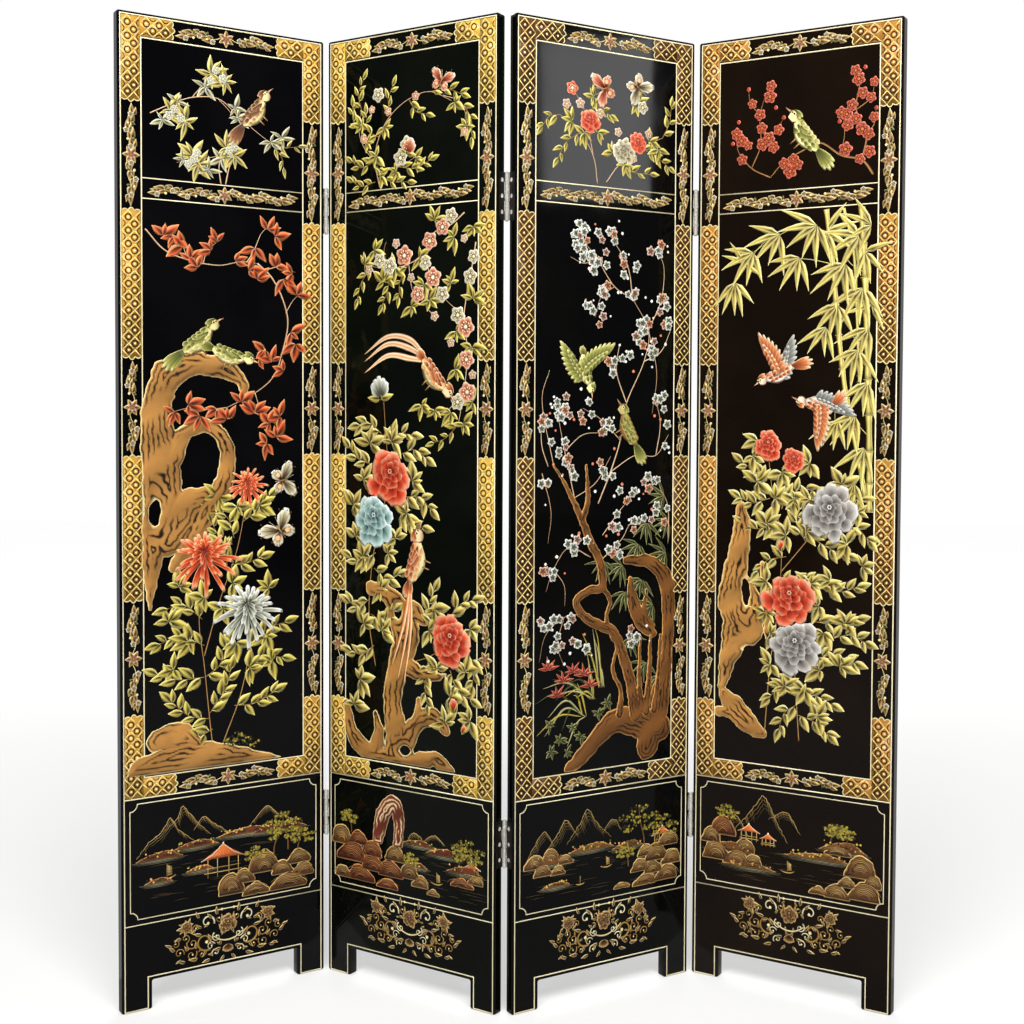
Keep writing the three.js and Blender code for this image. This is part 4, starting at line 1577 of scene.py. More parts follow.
def boulder(relief, centre, wide, high, look, level=0.05):
    """A river rock, flat where it stands in the water, with fine gold arcs that follow its crown."""
    vary = relief.rng.uniform
    s, d = centre
    lean = vary(-0.14, 0.14) * wide
    crown = [(s - wide * 0.3, d - high * 0.12), (s + lean, d - high * 0.48), (s + wide * 0.3,
        d - high * 0.16)]
    rock(relief, [(crown, [high * 0.6, high, high * 0.55])], look, level, cell=1.2,
        layer=6.0 + 0.03 * high, sink=d)
    for k in range(1, 3 + int(high / 7)):
        inward = 1 - k / (4 + high / 7) * 0.95
        angles = np.linspace(vary(8, 40), vary(140, 172), 7)
        arc = [(s + lean * 0.8 * inward + wide * 0.5 * inward * math.cos(a),
            d - high * (0.1 + 0.82 * inward * math.sin(a))) for a in np.radians(angles)]
        gold = look.rim * vary(0.35, 0.9)
        sweep(relief, arc, [0.7, 1.5, 1.9, 1.4, 0.6], LINE, [look.body, gold, look.body],
            level=level + 0.42)


def foliage(relief, centre, wide, high, count, look, level=0.1):
    """A cushion of a tree's crown, dabbed on with dark paint first and bright paint last."""
    vary = relief.rng.uniform
    for k in range(count):
        turn = vary(0, 6.28)
        reach = vary(0, 1) ** 0.5
        spot = (centre[0] + wide * reach * math.cos(turn), centre[1] + high * reach * math.sin(turn))
        tone = look.heart * 1.6 if k < count * 0.5 else look.body * (0.3 if k < count * 0.8 else 0.6)
        dot(relief, spot, vary(1.4, 3.0), tone * 0.7, tone, level + 0.2 * k / count)


def pine(relief, foot, height, lean, look, level=0.1):
    """A leaning trunk with broad flat cushions of needles."""
    base = np.array(foot, float)
    top = base + (lean, -height)
    trunk = [base, base + (lean * 0.1, -height * 0.35), base + (lean * 0.7, -height * 0.7), top]
    limb(relief, trunk, [3.4, 2.4, 1.2], WOOD, level, 4)
    for across, down, wide in ((0, 0, 0.26), (-0.3, 0.16, 0.24), (0.34, 0.2, 0.27), (-0.26, 0.4, 0.22),
            (0.3, 0.44, 0.22), (0.02, 0.24, 0.28)):
        foliage(relief, top + (across * height, down * height), wide * height, 0.08 * height, 32, look,
            level + 0.1)


def pavilion(relief, place, width, roof, level=0.2):
    """A river pavilion on posts: a swept roof, four posts, a rail and its deck."""
    s, d = place
    half = width / 2
    roof_line = [(s - half * 1.15, d + width * 0.30), (s - half * 0.55, d + width * 0.16),
        (s, d - width * 0.08), (s + half * 0.55, d + width * 0.16), (s + half * 1.15, d + width * 0.30),
        (s + half * 0.6, d + width * 0.27), (s - half * 0.6, d + width * 0.27)]
    flat_patch(relief, roof_line, roof * 0.75, level)
    for k in range(-4, 5):
        end = (s + half * 0.24 * k, d + width * (0.26 - 0.004 * k * k * 0.2))
        thin(relief, [(s, d - width * 0.05), end], [0.7, 1.2], roof * 1.25, level + 0.08, 1)
    gold_line(relief, roof_line[:5], 1.6, GOLD, level + 0.1)
    dot(relief, (s, d - width * 0.1), 1.8, GOLD, GOLD, level + 0.14)
    floor_d = d + width * 0.62
    for across in (-0.8, -0.3, 0.3, 0.8):
        thin(relief, [(s + half * across, d + width * 0.27), (s + half * across, floor_d + width * 0.12)],
            1.5, LAND_GOLD, level, 1)
    gold_line(relief, [(s - half, floor_d), (s + half, floor_d)], 1.8, LAND_GOLD, level + 0.06)
    gold_line(relief, [(s - half * 0.9, floor_d - width * 0.12), (s + half * 0.9, floor_d - width * 0.12)],
        1.0, LAND_GOLD, level + 0.06)


def boat(relief, place, length, paint, level=0.1, sail=True):
    """A river boat with a mat sail."""
    s, d = place
    hull = curve_through([(s - length / 2, d - length * 0.10), (s - length * 0.2, d),
        (s + length * 0.2, d), (s + length / 2, d - length * 0.14)], 3)
    thin(relief, hull, [0.8, 2.4, 2.4, 0.8], paint, level)
    thin(relief, [(s, d), (s, d - length * 0.8)], 0.9, paint, level, 1)
    if sail:
        flat_patch(relief, [(s + 1, d - length * 0.75), (s + length * 0.28, d - length * 0.6),
            (s + length * 0.3, d - length * 0.18), (s + 1, d - length * 0.12)], paint * 0.5, level)
        for k in range(4):
            down = d - length * (0.22 + 0.14 * k)
            thin(relief, [(s + 1, down), (s + length * 0.28, down + 0.6)], 0.8, paint, level + 0.08, 1)


def far_view(relief, paint, ridges, look, islands, water):
    """Mountains, islands before them, and ripples on water: left, right, top, bottom and their number."""
    for points, drop in ridges:
        peak(relief, points, paint, drop)
    for left, right, down, high in islands:
        shore(relief, left, right, down, high * 1.5, look)
    ripples(relief, *water, LAND_DIM)


def boulders(relief, *stones):
    """Brown river rocks, each a foot point, a width and a height."""
    for centre, wide, high in stones:
        boulder(relief, centre, wide, high, BOULDER)


def pines(relief, *trees):
    """Pines, each a foot point, a height and a lean."""
    for foot, tall, lean in trees:
        pine(relief, foot, tall, lean, LEAF)

# %% [markdown]
# ## Panel 1: autumn
#
# At the top a songbird sits on a bough of pale blossom. In the tall field red leaves hang from a twisting
# branch, two olive birds share a pierced garden rock, and chrysanthemums stand in front of it with
# butterflies over them. The painter works from back to front, so the rock and branches come first and the
# birds last.

# %% Panel 1, upper field
def finish_picture(relief, name):
    """A picture as one piece of its panel, whose name starts with the panel's."""
    make_piece(relief, name, name[:len("panel_1")], picture_paint)


PALE_WOOD = look_of((250, 232, 202), (214, 178, 138), (110, 70, 42))

work = Relief(11)
twigs(work, (3.4, (205, 294), (212, 262), (222, 240)), (3.2, (196, 294), (192, 262), (200, 238)),
    (2.6, (60, 178), (98, 158), (140, 140), (190, 136), (226, 160), (262, 186), (296, 206), (330, 214)),
    (2.2, (140, 140), (164, 110), (184, 84)), (2.0, (190, 136), (206, 150), (222, 166)),
    (2.0, (200, 240), (160, 250), (110, 262)), look=PALE_WOOD)
leaf_groups(work, 31, LEAF_GOLD, 7, [(178, 92), (204, 104), (100, 168), (126, 186), (140, 246), (150, 262),
    (208, 226), (222, 240)], share=360, width=0.36)
leaf_groups(work, 25, LEAF_PALE, 5, [(166, 118), (84, 188), (112, 152), (122, 256), (170, 270), (224, 150),
    (230, 168), (196, 246), (296, 206), (318, 196)], share=360, width=0.36)
stems(work, 25, LEAF_GOLD, [(296, 206), (326, 212), (352, 208)], [(300, 210), (318, 232), (322, 250)],
    width=0.36)
blossoms(work, 9, PETAL_WHITE, [(186, 84), (200, 98), (176, 104), (106, 166), (118, 180), (96, 178),
    (144, 252), (132, 262), (212, 230), (222, 222), (150, 240)], heart=GOLD)
bird(work, (262, 152), 50, 84, FEATHER_BROWN, CREAM, tail=0.95, tail_turn=6, level=0.5)
finish_picture(work, "panel_1_upper_picture")

# %% Panel 1, rock
work = Relief(12)
rock(work, [([(56, 1084), (58, 1020), (66, 950), (80, 880), (76, 800), (70, 720), (88, 650)],
    [8, 34, 54, 76, 72, 58, 54]), ([(88, 654), (130, 632), (178, 634), (216, 646), (238, 668), (240, 700)],
    [60, 52, 42, 40, 26, 10]), ([(96, 806), (118, 766), (158, 746), (194, 766), (208, 812), (194, 866),
    (166, 900)], [50, 32, 26, 30, 34, 40, 44]), ([(90, 960), (124, 904), (160, 884)], [60, 78, 50]),
    ([(168, 896), (134, 960), (100, 1010)], [48, 42, 20])], ROCK, holes=((66, 906, 11, 24),
    (112, 690, 8, 12)))
rock(work, [([(70, 1330), (110, 1326), (146, 1346)], [44, 56, 30])], ROCK)
rock(work, [([(46, 1388), (110, 1376), (180, 1378), (250, 1388), (312, 1392)], [66, 76, 66, 44, 8])], ROCK,
    0.1)
for spot in ((206, 1346), (224, 1340), (244, 1348), (218, 1352), (256, 1356)):
    foliage(work, spot, 13, 9, 16, LEAF, 0.3)
finish_picture(work, "panel_1_garden_rock")

# %% Panel 1, red leaves, flowers, birds and butterflies
work = Relief(13)
twigs(work, (3.6, (50, 388), (86, 424), (134, 440), (190, 446), (236, 436), (268, 438)),
    (4.2, (268, 438), (296, 462), (318, 500), (330, 548), (318, 606), (300, 652), (262, 684), (206, 712)),
    (2.4, (246, 438), (262, 412), (276, 380), (292, 366)), (2.4, (282, 450), (318, 440), (346, 450)),
    (2.2, (130, 438), (120, 412), (104, 396)), (2.2, (160, 446), (168, 420), (186, 404)),
    (2.2, (326, 530), (340, 506), (350, 496)), (2.6, (262, 684), (276, 720), (304, 744)),
    (2.8, (206, 712), (170, 716), (130, 714), (104, 720)), (2.0, (318, 606), (334, 590), (340, 566)),
    look=PALE_WOOD)
leaf_groups(work, 31, LEAF_RED, 3, [(104, 398), (120, 414), (136, 438), (84, 398), (150, 452), (188, 402),
    (176, 418), (224, 436), (262, 408), (290, 372), (304, 384), (250, 452), (268, 468), (306, 442),
    (340, 452), (322, 464), (350, 494), (336, 566), (346, 588), (284, 602), (298, 622), (270, 620),
    (322, 640)], share=170, width=0.52)
leaf_groups(work, 32, LEAF_RED, 4, [(104, 722), (130, 708), (152, 728), (186, 716), (206, 734), (236, 702),
    (262, 722), (292, 742), (314, 728), (306, 768), (286, 780)], 0.5, 220, 0.5)
bird(work, (150, 586), 38, 88, FEATHER_OLIVE, CREAM, level=0.6, tail_turn=4)
bird(work, (212, 612), -18, 84, FEATHER_OLIVE, CREAM, level=0.75, tail=0.7)
butterfly(work, (318, 852), 10, 44, PETAL_CREAM)
butterfly(work, (314, 950), 128, 50, PETAL_CREAM)
for points in ([(180, 1385), (170, 1300), (160, 1200), (150, 1110), (160, 1010)],
        [(196, 1350), (232, 1260), (250, 1170), (244, 1110)], [(160, 1180), (190, 1080), (226, 980),
        (246, 880)]):
    stroke(work, points, [3.4, 2.4, 1.8], BARK_DARK, BARK_LIGHT, 0.0)
stems(work, 36, LEAF, [(214, 1010), (240, 1010), (272, 1000)], [(206, 1010), (190, 960), (176, 930)],
    [(220, 960), (206, 920), (170, 900)], [(236, 930), (262, 912), (290, 884)],
    [(156, 1110), (120, 1080), (90, 1086)], [(160, 1160), (114, 1140), (74, 1150)],
    [(250, 1170), (286, 1140), (322, 1128)], [(240, 1220), (276, 1190), (316, 1196)],
    [(220, 1280), (262, 1280), (300, 1262)], [(170, 1300), (130, 1290), (96, 1260)],
    [(160, 1220), (110, 1220), (70, 1206)], [(162, 1220), (190, 1200), (206, 1160)],
    [(176, 1320), (150, 1330), (120, 1322)], [(170, 1290), (200, 1250), (212, 1210)], gap=12, width=0.5)
leaf_groups(work, 33, LEAF, 5, [(206, 976), (216, 1046), (112, 1046), (196, 1092), (222, 1160),
    (284, 1152), (290, 1060), (160, 1070), (92, 1110), (130, 1150), (226, 900), (270, 900), (188, 880),
    (250, 1210), (296, 1200), (100, 1200)], 0.16, width=0.5)
chrysanthemum(work, (246, 862), 40, PETAL_ORANGE, 0.4)
chrysanthemum(work, (160, 998), 64, PETAL_ORANGE, 0.45)
chrysanthemum(work, (246, 1104), 66, PETAL_WHITE, 0.5)
finish_picture(work, "panel_1_main_picture")

# %% Panel 1, river landscape
work = Relief(14)
far_view(work, LAND_GOLD, (([(28, 1545), (52, 1518), (78, 1500), (92, 1478), (112, 1506), (140, 1528)],
    34), ([(82, 1500), (104, 1482), (118, 1460), (140, 1488), (172, 1520)], 40),
    ([(138, 1508), (158, 1484), (178, 1500), (212, 1526)], 28), ([(246, 1518), (270, 1496), (286, 1482),
    (308, 1500), (346, 1520)], 26)), ISLAND, ((24, 120, 1552, 9), (96, 190, 1540, 8), (180, 300, 1530, 8),
    (250, 372, 1534, 10), (40, 100, 1596, 6), (120, 180, 1586, 6)), (50, 350, 1546, 1640, 46))
boat(work, (86, 1590), 34, LAND_GOLD)
boulders(work, ((352, 1606), 60, 30), ((280, 1612), 70, 46), ((318, 1622), 50, 30), ((240, 1626), 44, 30),
    ((360, 1632), 56, 30), ((214, 1644), 50, 44), ((262, 1652), 70, 26), ((330, 1652), 100, 34))
pavilion(work, (196, 1548), 76, LAND_ORANGE)
pines(work, ((300, 1584), 62, 16), ((330, 1576), 70, -12), ((270, 1606), 44, -10), ((350, 1590), 50, 8))
finish_picture(work, "panel_1_river_picture")

# %% [markdown]
# ## Panel 2: peonies and long-tailed birds
#
# A flowering branch falls from the top right with coral and cream blossom and carries a long-tailed bird
# in flight. Below it a pale magnolia, red and blue peonies and a perched bird stand on a pierced rock.

# %% Panel 2, upper field
work = Relief(21)
twigs(work, (3.0, (130, 292), (118, 240), (128, 196), (156, 158), (200, 132), (250, 124), (300, 146)),
    (2.4, (118, 240), (92, 214), (78, 180), (84, 140)), (2.2, (128, 262), (176, 256), (220, 240)),
    (1.8, (280, 134), (322, 152), (338, 196)), look=PALE_WOOD)
stems(work, 27, LEAF, [(118, 240), (84, 250), (62, 238)], [(122, 250), (150, 280), (196, 286)],
    [(86, 180), (64, 160), (62, 132)], [(128, 196), (100, 180), (96, 150)], [(156, 158), (150, 128),
    (160, 104)], [(200, 132), (216, 156), (240, 164)], [(250, 124), (286, 122), (322, 136)],
    [(322, 152), (344, 182), (346, 216)], [(176, 256), (214, 262), (250, 250)],
    [(84, 140), (76, 110), (88, 84)], [(118, 280), (84, 286), (64, 276)])
leaf_groups(work, 25, LEAF, 5, [(120, 232), (96, 204), (84, 170), (130, 270), (170, 264), (216, 244),
    (140, 180), (334, 196), (306, 150)])
blossoms(work, 17, PETAL_CREAM, [(126, 116), (196, 216), (180, 240)], heart=GOLD)
blossoms(work, 9, PETAL_CORAL, [(110, 142), (90, 196), (150, 150), (216, 128), (330, 206)], heart=GOLD)
magnolia(work, (196, 232), 17, PETAL_CORAL, 70)
butterfly(work, (276, 108), 70, 36, PETAL_CORAL)
finish_picture(work, "panel_2_upper_picture")

# %% Panel 2, rock
work = Relief(22)
rock(work, [([(182, 1392), (172, 1330), (162, 1272), (174, 1212), (194, 1150), (178, 1096), (146, 1066),
    (110, 1060)], [84, 56, 44, 46, 58, 70, 40, 30]), ([(178, 1104), (214, 1098), (242, 1118)],
    [60, 42, 12]), ([(180, 1190), (222, 1212), (262, 1216), (290, 1210)], [50, 34, 24, 8]),
    ([(190, 1350), (226, 1304), (262, 1294), (292, 1316)], [50, 34, 40, 20]), ([(226, 1306), (226, 1264)],
    [28, 10]), ([(46, 1290), (64, 1350), (110, 1382), (180, 1390)], [16, 34, 42, 40]),
    ([(112, 1390), (128, 1340), (120, 1300)], [44, 30, 12]), ([(214, 1392), (262, 1372), (296, 1392)],
    [50, 30, 34])], ROCK, holes=((176, 1100, 8, 14), (192, 1366, 12, 9)))
finish_picture(work, "panel_2_garden_rock")

# %% Panel 2, blossom branch, peonies and birds
work = Relief(23)
twigs(work, (3.6, (330, 352), (300, 372), (262, 384), (236, 420), (200, 440), (150, 446), (110, 440)),
    (3.2, (236, 420), (250, 470), (244, 520), (262, 540)), (3.4, (356, 408), (344, 470), (330, 540),
    (338, 610), (330, 680), (318, 740)), (2.2, (200, 440), (206, 480), (216, 506)),
    (2.2, (150, 446), (140, 412), (146, 396)), (2.2, (330, 540), (300, 520), (276, 500)),
    (2.4, (330, 680), (290, 716), (250, 712)), look=PALE_WOOD)
blossoms(work, 20, PETAL_CORAL, [(280, 376), (250, 400), (190, 424), (258, 468), (222, 498), (334, 562),
    (336, 622), (338, 682)], heart=GOLD)
blossoms(work, 17, PETAL_CREAM, [(130, 430), (154, 442), (280, 500), (352, 434), (344, 470), (316, 540),
    (316, 700), (240, 440), (300, 356)], heart=GOLD)
blossoms(work, 10, PETAL_PINK, [(104, 446), (170, 400), (206, 466), (300, 590), (350, 650), (262, 540),
    (330, 400)])
leaf_groups(work, 28, LEAF, 5, [(262, 362), (306, 396), (226, 430), (166, 446), (116, 410), (92, 436),
    (236, 480), (206, 520), (250, 510), (300, 480), (350, 510), (312, 570), (348, 600), (310, 640),
    (350, 700), (300, 720), (262, 716), (232, 706), (350, 380), (140, 470), (330, 740)], 0.12)
stems(work, 26, LEAF, [(110, 440), (84, 470), (74, 500)], [(150, 446), (150, 484), (136, 514)],
    [(318, 740), (290, 766), (262, 776)], [(200, 440), (180, 470), (176, 500)])
for k, (bow, reach) in enumerate(((606, 586), (622, 600), (640, 622))):
    path = curve_through([(246, 624), (206, bow - 22), (150, reach - 10), (92, reach + 22)], 5)
    sweep(work, path, [7, 13, 10, 1], LIMB, [CREAM, FEATHER_ORANGE.rim, FEATHER_ORANGE.body,
        FEATHER_ORANGE.rim, FEATHER_ORANGE.heart], level=0.3 + 0.05 * k)
bird(work, (262, 650), -50, 96, FEATHER_ORANGE, CREAM, level=0.55, tail=0.5)
magnolia(work, (132, 692), 24, PETAL_WHITE, 96)
peony(work, (156, 846), 58, PETAL_RED, 0.5)
peony(work, (116, 930), 54, PETAL_BLUE, 0.62, 14)
peony(work, (300, 1148), 54, PETAL_RED, 0.5, 8)
bud(work, (310, 1280), 96, 30, PETAL_RED, 0.5)
bud(work, (330, 1316), 76, 18, PETAL_RED, 0.5)
for points in ([(120, 1210), (104, 1120), (110, 1020), (130, 930), (150, 850), (140, 700)],
        [(150, 1250), (200, 1200), (250, 1180), (300, 1150)], [(110, 1020), (96, 980), (90, 940)]):
    stroke(work, points, [3.4, 2.6, 1.8], BARK_DARK, BARK_LIGHT, 0.0)
stems(work, 36, LEAF_GOLD, [(134, 760), (104, 740), (80, 744)], [(140, 780), (176, 760), (206, 762)],
    [(110, 820), (76, 810), (56, 790)], [(180, 800), (214, 790), (240, 804)], [(190, 880), (228, 880),
    (252, 900)], [(170, 900), (206, 930), (232, 936)], [(120, 990), (84, 1010), (60, 1002)],
    [(116, 1020), (146, 1040), (176, 1030)], [(106, 1080), (76, 1100), (56, 1092)],
    [(108, 1110), (140, 1120), (166, 1100)], [(116, 1170), (86, 1190), (60, 1186)],
    [(250, 1180), (240, 1230), (246, 1270)], [(300, 1200), (316, 1236), (346, 1250)],
    [(256, 1120), (250, 1084), (262, 1056)], [(300, 1100), (322, 1076), (350, 1066)],
    [(340, 1160), (354, 1190), (352, 1222)], gap=12, width=0.52)
leaf_groups(work, 34, LEAF_GOLD, 5, [(90, 850), (210, 850), (196, 910), (64, 900), (70, 960), (170, 960),
    (150, 990), (90, 1000), (130, 1060), (90, 1130), (136, 1140), (250, 1130), (270, 1200), (336, 1200),
    (346, 1120), (262, 1090), (300, 1250), (106, 780), (160, 776), (290, 1300), (346, 1290), (80, 1240),
    (66, 1290)], 0.16, width=0.52)
for k, (first, second) in enumerate((((198, 1130), (176, 1230)), ((206, 1136), (190, 1240)),
        ((190, 1120), (162, 1204)))):
    path = curve_through([(206, 1040), first, second], 6)
    sweep(work, path, [7, 8, 6, 1], LIMB, [CREAM, FEATHER_ORANGE.rim, FEATHER_ORANGE.body,
        FEATHER_ORANGE.body, FEATHER_ORANGE.heart], level=0.7 + 0.05 * k)
bird(work, (216, 1000), 74, 104, FEATHER_ORANGE, CREAM, level=0.8, tail=0.6)
finish_picture(work, "panel_2_main_picture")

# %% Panel 2, river landscape
work = Relief(24)
far_view(work, LAND_GOLD, (([(196, 1540), (216, 1520), (240, 1534)], 20), ([(236, 1536), (262, 1518),
    (290, 1534)], 16)), ISLAND, ((180, 270, 1544, 7), (240, 330, 1554, 9), (290, 380, 1580, 10),
    (196, 250, 1586, 6)), (190, 370, 1556, 1634, 34))
rock(work, [([(126, 1548), (140, 1494), (166, 1472), (178, 1500), (176, 1548)], [26, 34, 34, 26, 24])],
    CLIFF, cell=1.4, layer=7.5, sink=1556)
for centre, wide, high in (((36, 1570), 50, 40), ((76, 1566), 56, 30), ((110, 1584), 60, 34),
        ((58, 1600), 80, 44), ((168, 1584), 50, 34), ((118, 1612), 70, 36), ((160, 1616), 70, 36),
        ((204, 1612), 50, 34), ((86, 1636), 80, 34), ((230, 1624), 44, 26), ((150, 1640), 70, 22),
        ((40, 1636), 50, 26), ((262, 1634), 40, 14), ((330, 1606), 70, 20), ((360, 1596), 40, 22)):
    boulder(work, centre, wide, high, ROCK_RED if wide > 55 else BOULDER)
pines(work, ((320, 1590), 70, 20), ((346, 1588), 56, -10), ((60, 1544), 40, -8), ((196, 1600), 36, 10))
pavilion(work, (352, 1556), 36, LAND_ORANGE)
boat(work, (270, 1610), 28, LAND_GOLD)
finish_picture(work, "panel_2_river_picture")

# %% [markdown]
# ## Panel 3: plum blossom
#
# Plum branches climb from brown rocks, thick with small white and pink blossom. A green bird flies in from
# the left and another sits on a twig. Dark bamboo leaves and red orchids fill the foot of the field.

# %% Panel 3, upper field
work = Relief(31)
twigs(work, (2.6, (180, 290), (170, 240), (140, 200), (96, 172)), (2.6, (200, 286), (230, 250), (280, 214),
    (330, 190)), (2.0, (170, 240), (150, 160), (126, 124)), look=PALE_WOOD)
stems(work, 26, LEAF, [(96, 172), (72, 178), (58, 196)], [(140, 200), (110, 220), (92, 250)],
    [(230, 250), (262, 262), (300, 262)], [(280, 214), (312, 226), (344, 244)],
    [(150, 160), (180, 150), (206, 160)], [(330, 190), (346, 160), (350, 130)])
leaf_groups(work, 25, LEAF, 5, [(122, 180), (150, 200), (180, 196), (214, 230), (246, 246), (300, 200),
    (170, 130), (270, 130), (320, 214)])
peony(work, (160, 176), 26, PETAL_RED, 0.34)
peony(work, (272, 206), 21, PETAL_RED, 0.34)
peony(work, (238, 226), 28, PETAL_CREAM, 0.4)
blossoms(work, 15, PETAL_RED, [(122, 120)], heart=GOLD)
blossoms(work, 15, PETAL_CREAM, [(282, 138)], heart=GOLD)
blossoms(work, 10, PETAL_PINK, [(140, 146), (184, 160), (296, 186), (226, 190), (110, 150), (262, 236)])
butterfly(work, (196, 112), 200, 42, PETAL_CORAL)
butterfly(work, (270, 100), -50, 42, PETAL_CREAM)
finish_picture(work, "panel_3_upper_picture")

# %% Panel 3, rocks and plum trunk
work = Relief(32)
rock(work, [([(251, 1000), (300, 1004), (337, 1028), (352, 1076), (350, 1181), (336, 1260), (316, 1320),
    (304, 1366)], [16, 30, 36, 30, 28, 40, 62, 50]), ([(330, 1330), (270, 1312), (225, 1308), (190, 1332),
    (152, 1366), (124, 1386)], [60, 62, 50, 38, 34, 22]), ([(262, 1036), (268, 1080), (290, 1122),
    (316, 1146)], [10, 26, 34, 18]), ([(300, 1060), (296, 1100), (316, 1130)], [8, 14, 10])], ROCK_BROWN,
    layer=8, cell=2)
rock(work, [([(276, 1300), (262, 1230), (244, 1180), (222, 1136), (180, 1116), (150, 1096), (138, 1072),
    (162, 1054), (196, 1046), (190, 1000), (168, 961), (150, 920), (128, 880), (104, 840), (86, 817)],
    [30, 24, 24, 22, 20, 20, 17, 15, 18, 18, 18, 16, 12, 8, 5]), ([(150, 920), (162, 880), (158, 818)],
    [14, 11, 5]), ([(196, 1046), (214, 1076), (206, 1110), (224, 1150)], [12, 9, 9, 12]),
    ([(310, 1150), (308, 1230), (300, 1296)], [7, 12, 20]), ([(334, 1150), (330, 1230), (320, 1296)],
    [7, 10, 18]), ([(286, 1150), (284, 1230), (290, 1290)], [6, 10, 18]), ([(230, 1170), (222, 1210),
    (240, 1250), (238, 1296)], [6, 9, 9, 18])], ROCK_BROWN, 0.3, layer=6, cell=1.8)
finish_picture(work, "panel_3_garden_rock")

# %% Panel 3, twigs
work = Relief(33)
twigs(work, (2.2, (60, 830), (80, 900), (74, 960)), (2.0, (128, 880), (180, 850), (214, 800)),
    (2.0, (86, 817), (60, 700), (76, 640)), (2.2, (190, 1000), (240, 960), (262, 930), (300, 940)),
    (2.0, (150, 1096), (110, 1100), (70, 1130), (56, 1180)), (2.0, (110, 1100), (96, 1150), (110, 1190)),
    (2.2, (300, 560), (320, 640), (310, 720)), (3.6, (186, 890), (214, 830), (236, 770), (250, 700),
    (290, 620), (300, 560), (262, 500)), (3.0, (146, 930), (128, 860), (110, 790), (96, 730)),
    (2.8, (74, 818), (60, 780), (58, 740)), (3.2, (250, 700), (226, 640), (232, 590)),
    (2.6, (290, 620), (330, 600), (352, 560)), (2.8, (262, 500), (220, 480), (180, 430), (150, 400)),
    (2.6, (262, 500), (250, 440), (206, 380)), (2.4, (300, 560), (330, 500), (336, 440), (322, 410)),
    (2.4, (180, 430), (150, 440), (120, 430)), (2.6, (214, 830), (270, 800), (320, 800), (350, 760)),
    (2.4, (236, 770), (190, 730), (150, 710)), (2.6, (170, 990), (120, 970), (86, 1010), (70, 1050)),
    (2.6, (110, 790), (150, 760), (196, 756)), (2.4, (320, 800), (330, 740), (318, 690)),
    (2.4, (196, 950), (240, 900), (262, 880)), (2.2, (220, 480), (190, 500), (176, 540)),
    (2.2, (86, 1010), (110, 1040), (112, 1080)), (2.4, (352, 962), (350, 900), (330, 860)), look=PALE_WOOD)
finish_picture(work, "panel_3_twigs")

# %% Panel 3, blossom
work = Relief(35)
SPRAYS = [(150, 400), (206, 380), (180, 430), (160, 424), (250, 440), (196, 486), (176, 532), (286, 560),
    (272, 590), (314, 596), (132, 388), (322, 414), (318, 696), (112, 706), (232, 624), (96, 724),
    (196, 756), (90, 782), (122, 818), (196, 832), (250, 882), (270, 930), (140, 964), (86, 1014),
    (262, 500), (330, 500), (350, 560), (150, 710), (350, 760), (64, 1110), (60, 740), (112, 1120),
    (300, 850), (220, 980), (330, 910), (280, 1150), (140, 1160), (90, 1160), (220, 930), (60, 860)]
for number in range(210):
    place = np.array(SPRAYS[number % len(SPRAYS)]) + turned(work.rng.uniform(0, 360)) * work.rng.uniform(2,
        25)
    look = (PETAL_PLUM, PETAL_PLUM, PETAL_PINK, PETAL_PLUM, PETAL_PLUM, PETAL_CORAL,
        PETAL_PLUM)[number % 7]
    if INNER_LEFT + 12 < place[0] < INNER_RIGHT - 12 and place[1] > STRIP_BOTTOM + 12:
        blossom(work, place, work.rng.uniform(8.5, 11.5), look, work.rng.uniform(0, 72),
            0.5 + 0.004 * number, heart=LEAF_DARK.body, width=0.7)
finish_picture(work, "panel_3_blossom")

# %% Panel 3, buds, birds and orchids
work = Relief(36)
for number in range(110):
    spot = SPRAYS[(number * 7) % len(SPRAYS)]
    place = np.array(spot) + turned(work.rng.uniform(0, 360)) * work.rng.uniform(18, 40)
    if INNER_LEFT + 6 < place[0] < INNER_RIGHT - 6 and place[1] > STRIP_BOTTOM + 8:
        tone = (PETAL_PINK.rim, PETAL_CORAL.body, PETAL_PLUM.rim)[number % 3]
        dot(work, place, work.rng.uniform(2.0, 3.6), tone * 0.6, tone, 0.4)
bird(work, (156, 640), -78, 74, FEATHER_OLIVE, CREAM, (44, 134), 1.5, tail=0.45)
bird(work, (254, 748), 118, 84, FEATHER_OLIVE, FEATHER_BROWN.body, level=1.5, flip=-1, tail=0.9)
for place, turn in (((340, 880), 180), ((352, 930), 200), ((300, 930), 250), ((346, 990), 190),
        ((280, 970), 230), ((244, 1010), 210), ((250, 1060), 260), ((290, 1040), 240), ((316, 1090), 200),
        ((262, 1150), 280), ((200, 1000), 250), ((330, 1230), 260), ((300, 1200), 240)):
    lances(work, place, [turn - 70, turn - 40, turn - 12, turn + 16, turn + 44, turn + 76], 44, LEAF_DARK,
        0.02)
for number in range(26):
    foot = np.array([(170, 1260), (150, 1290), (190, 1240)][number % 3]) + (number % 5 * 3, 0)
    tip = foot + turned(work.rng.uniform(95, 235)) * work.rng.uniform(40, 118)
    bow = (foot + tip) / 2 + (0, -work.rng.uniform(8, 34))
    tone = (LEAF.body, LEAF_PALE.body, LEAF_DARK.body)[number // 3 % 3] * 0.9
    stroke(work, [foot, bow, tip], [1.6, 5.4, 0.6], tone * 0.35, tone, 0.15)
leaf_groups(work, 15, LEAF_DARK, 6, [(80, 1300), (104, 1330), (84, 1350), (130, 1310), (150, 1330),
    (190, 1290), (210, 1270), (120, 1356)], 0.1, 360)
for place in ((132, 1206), (110, 1222), (156, 1214), (76, 1196), (96, 1248), (170, 1236)):
    lances(work, place, [20, 60, 95, 130, 165], 24, PETAL_WINE, 0.3, 0.3)
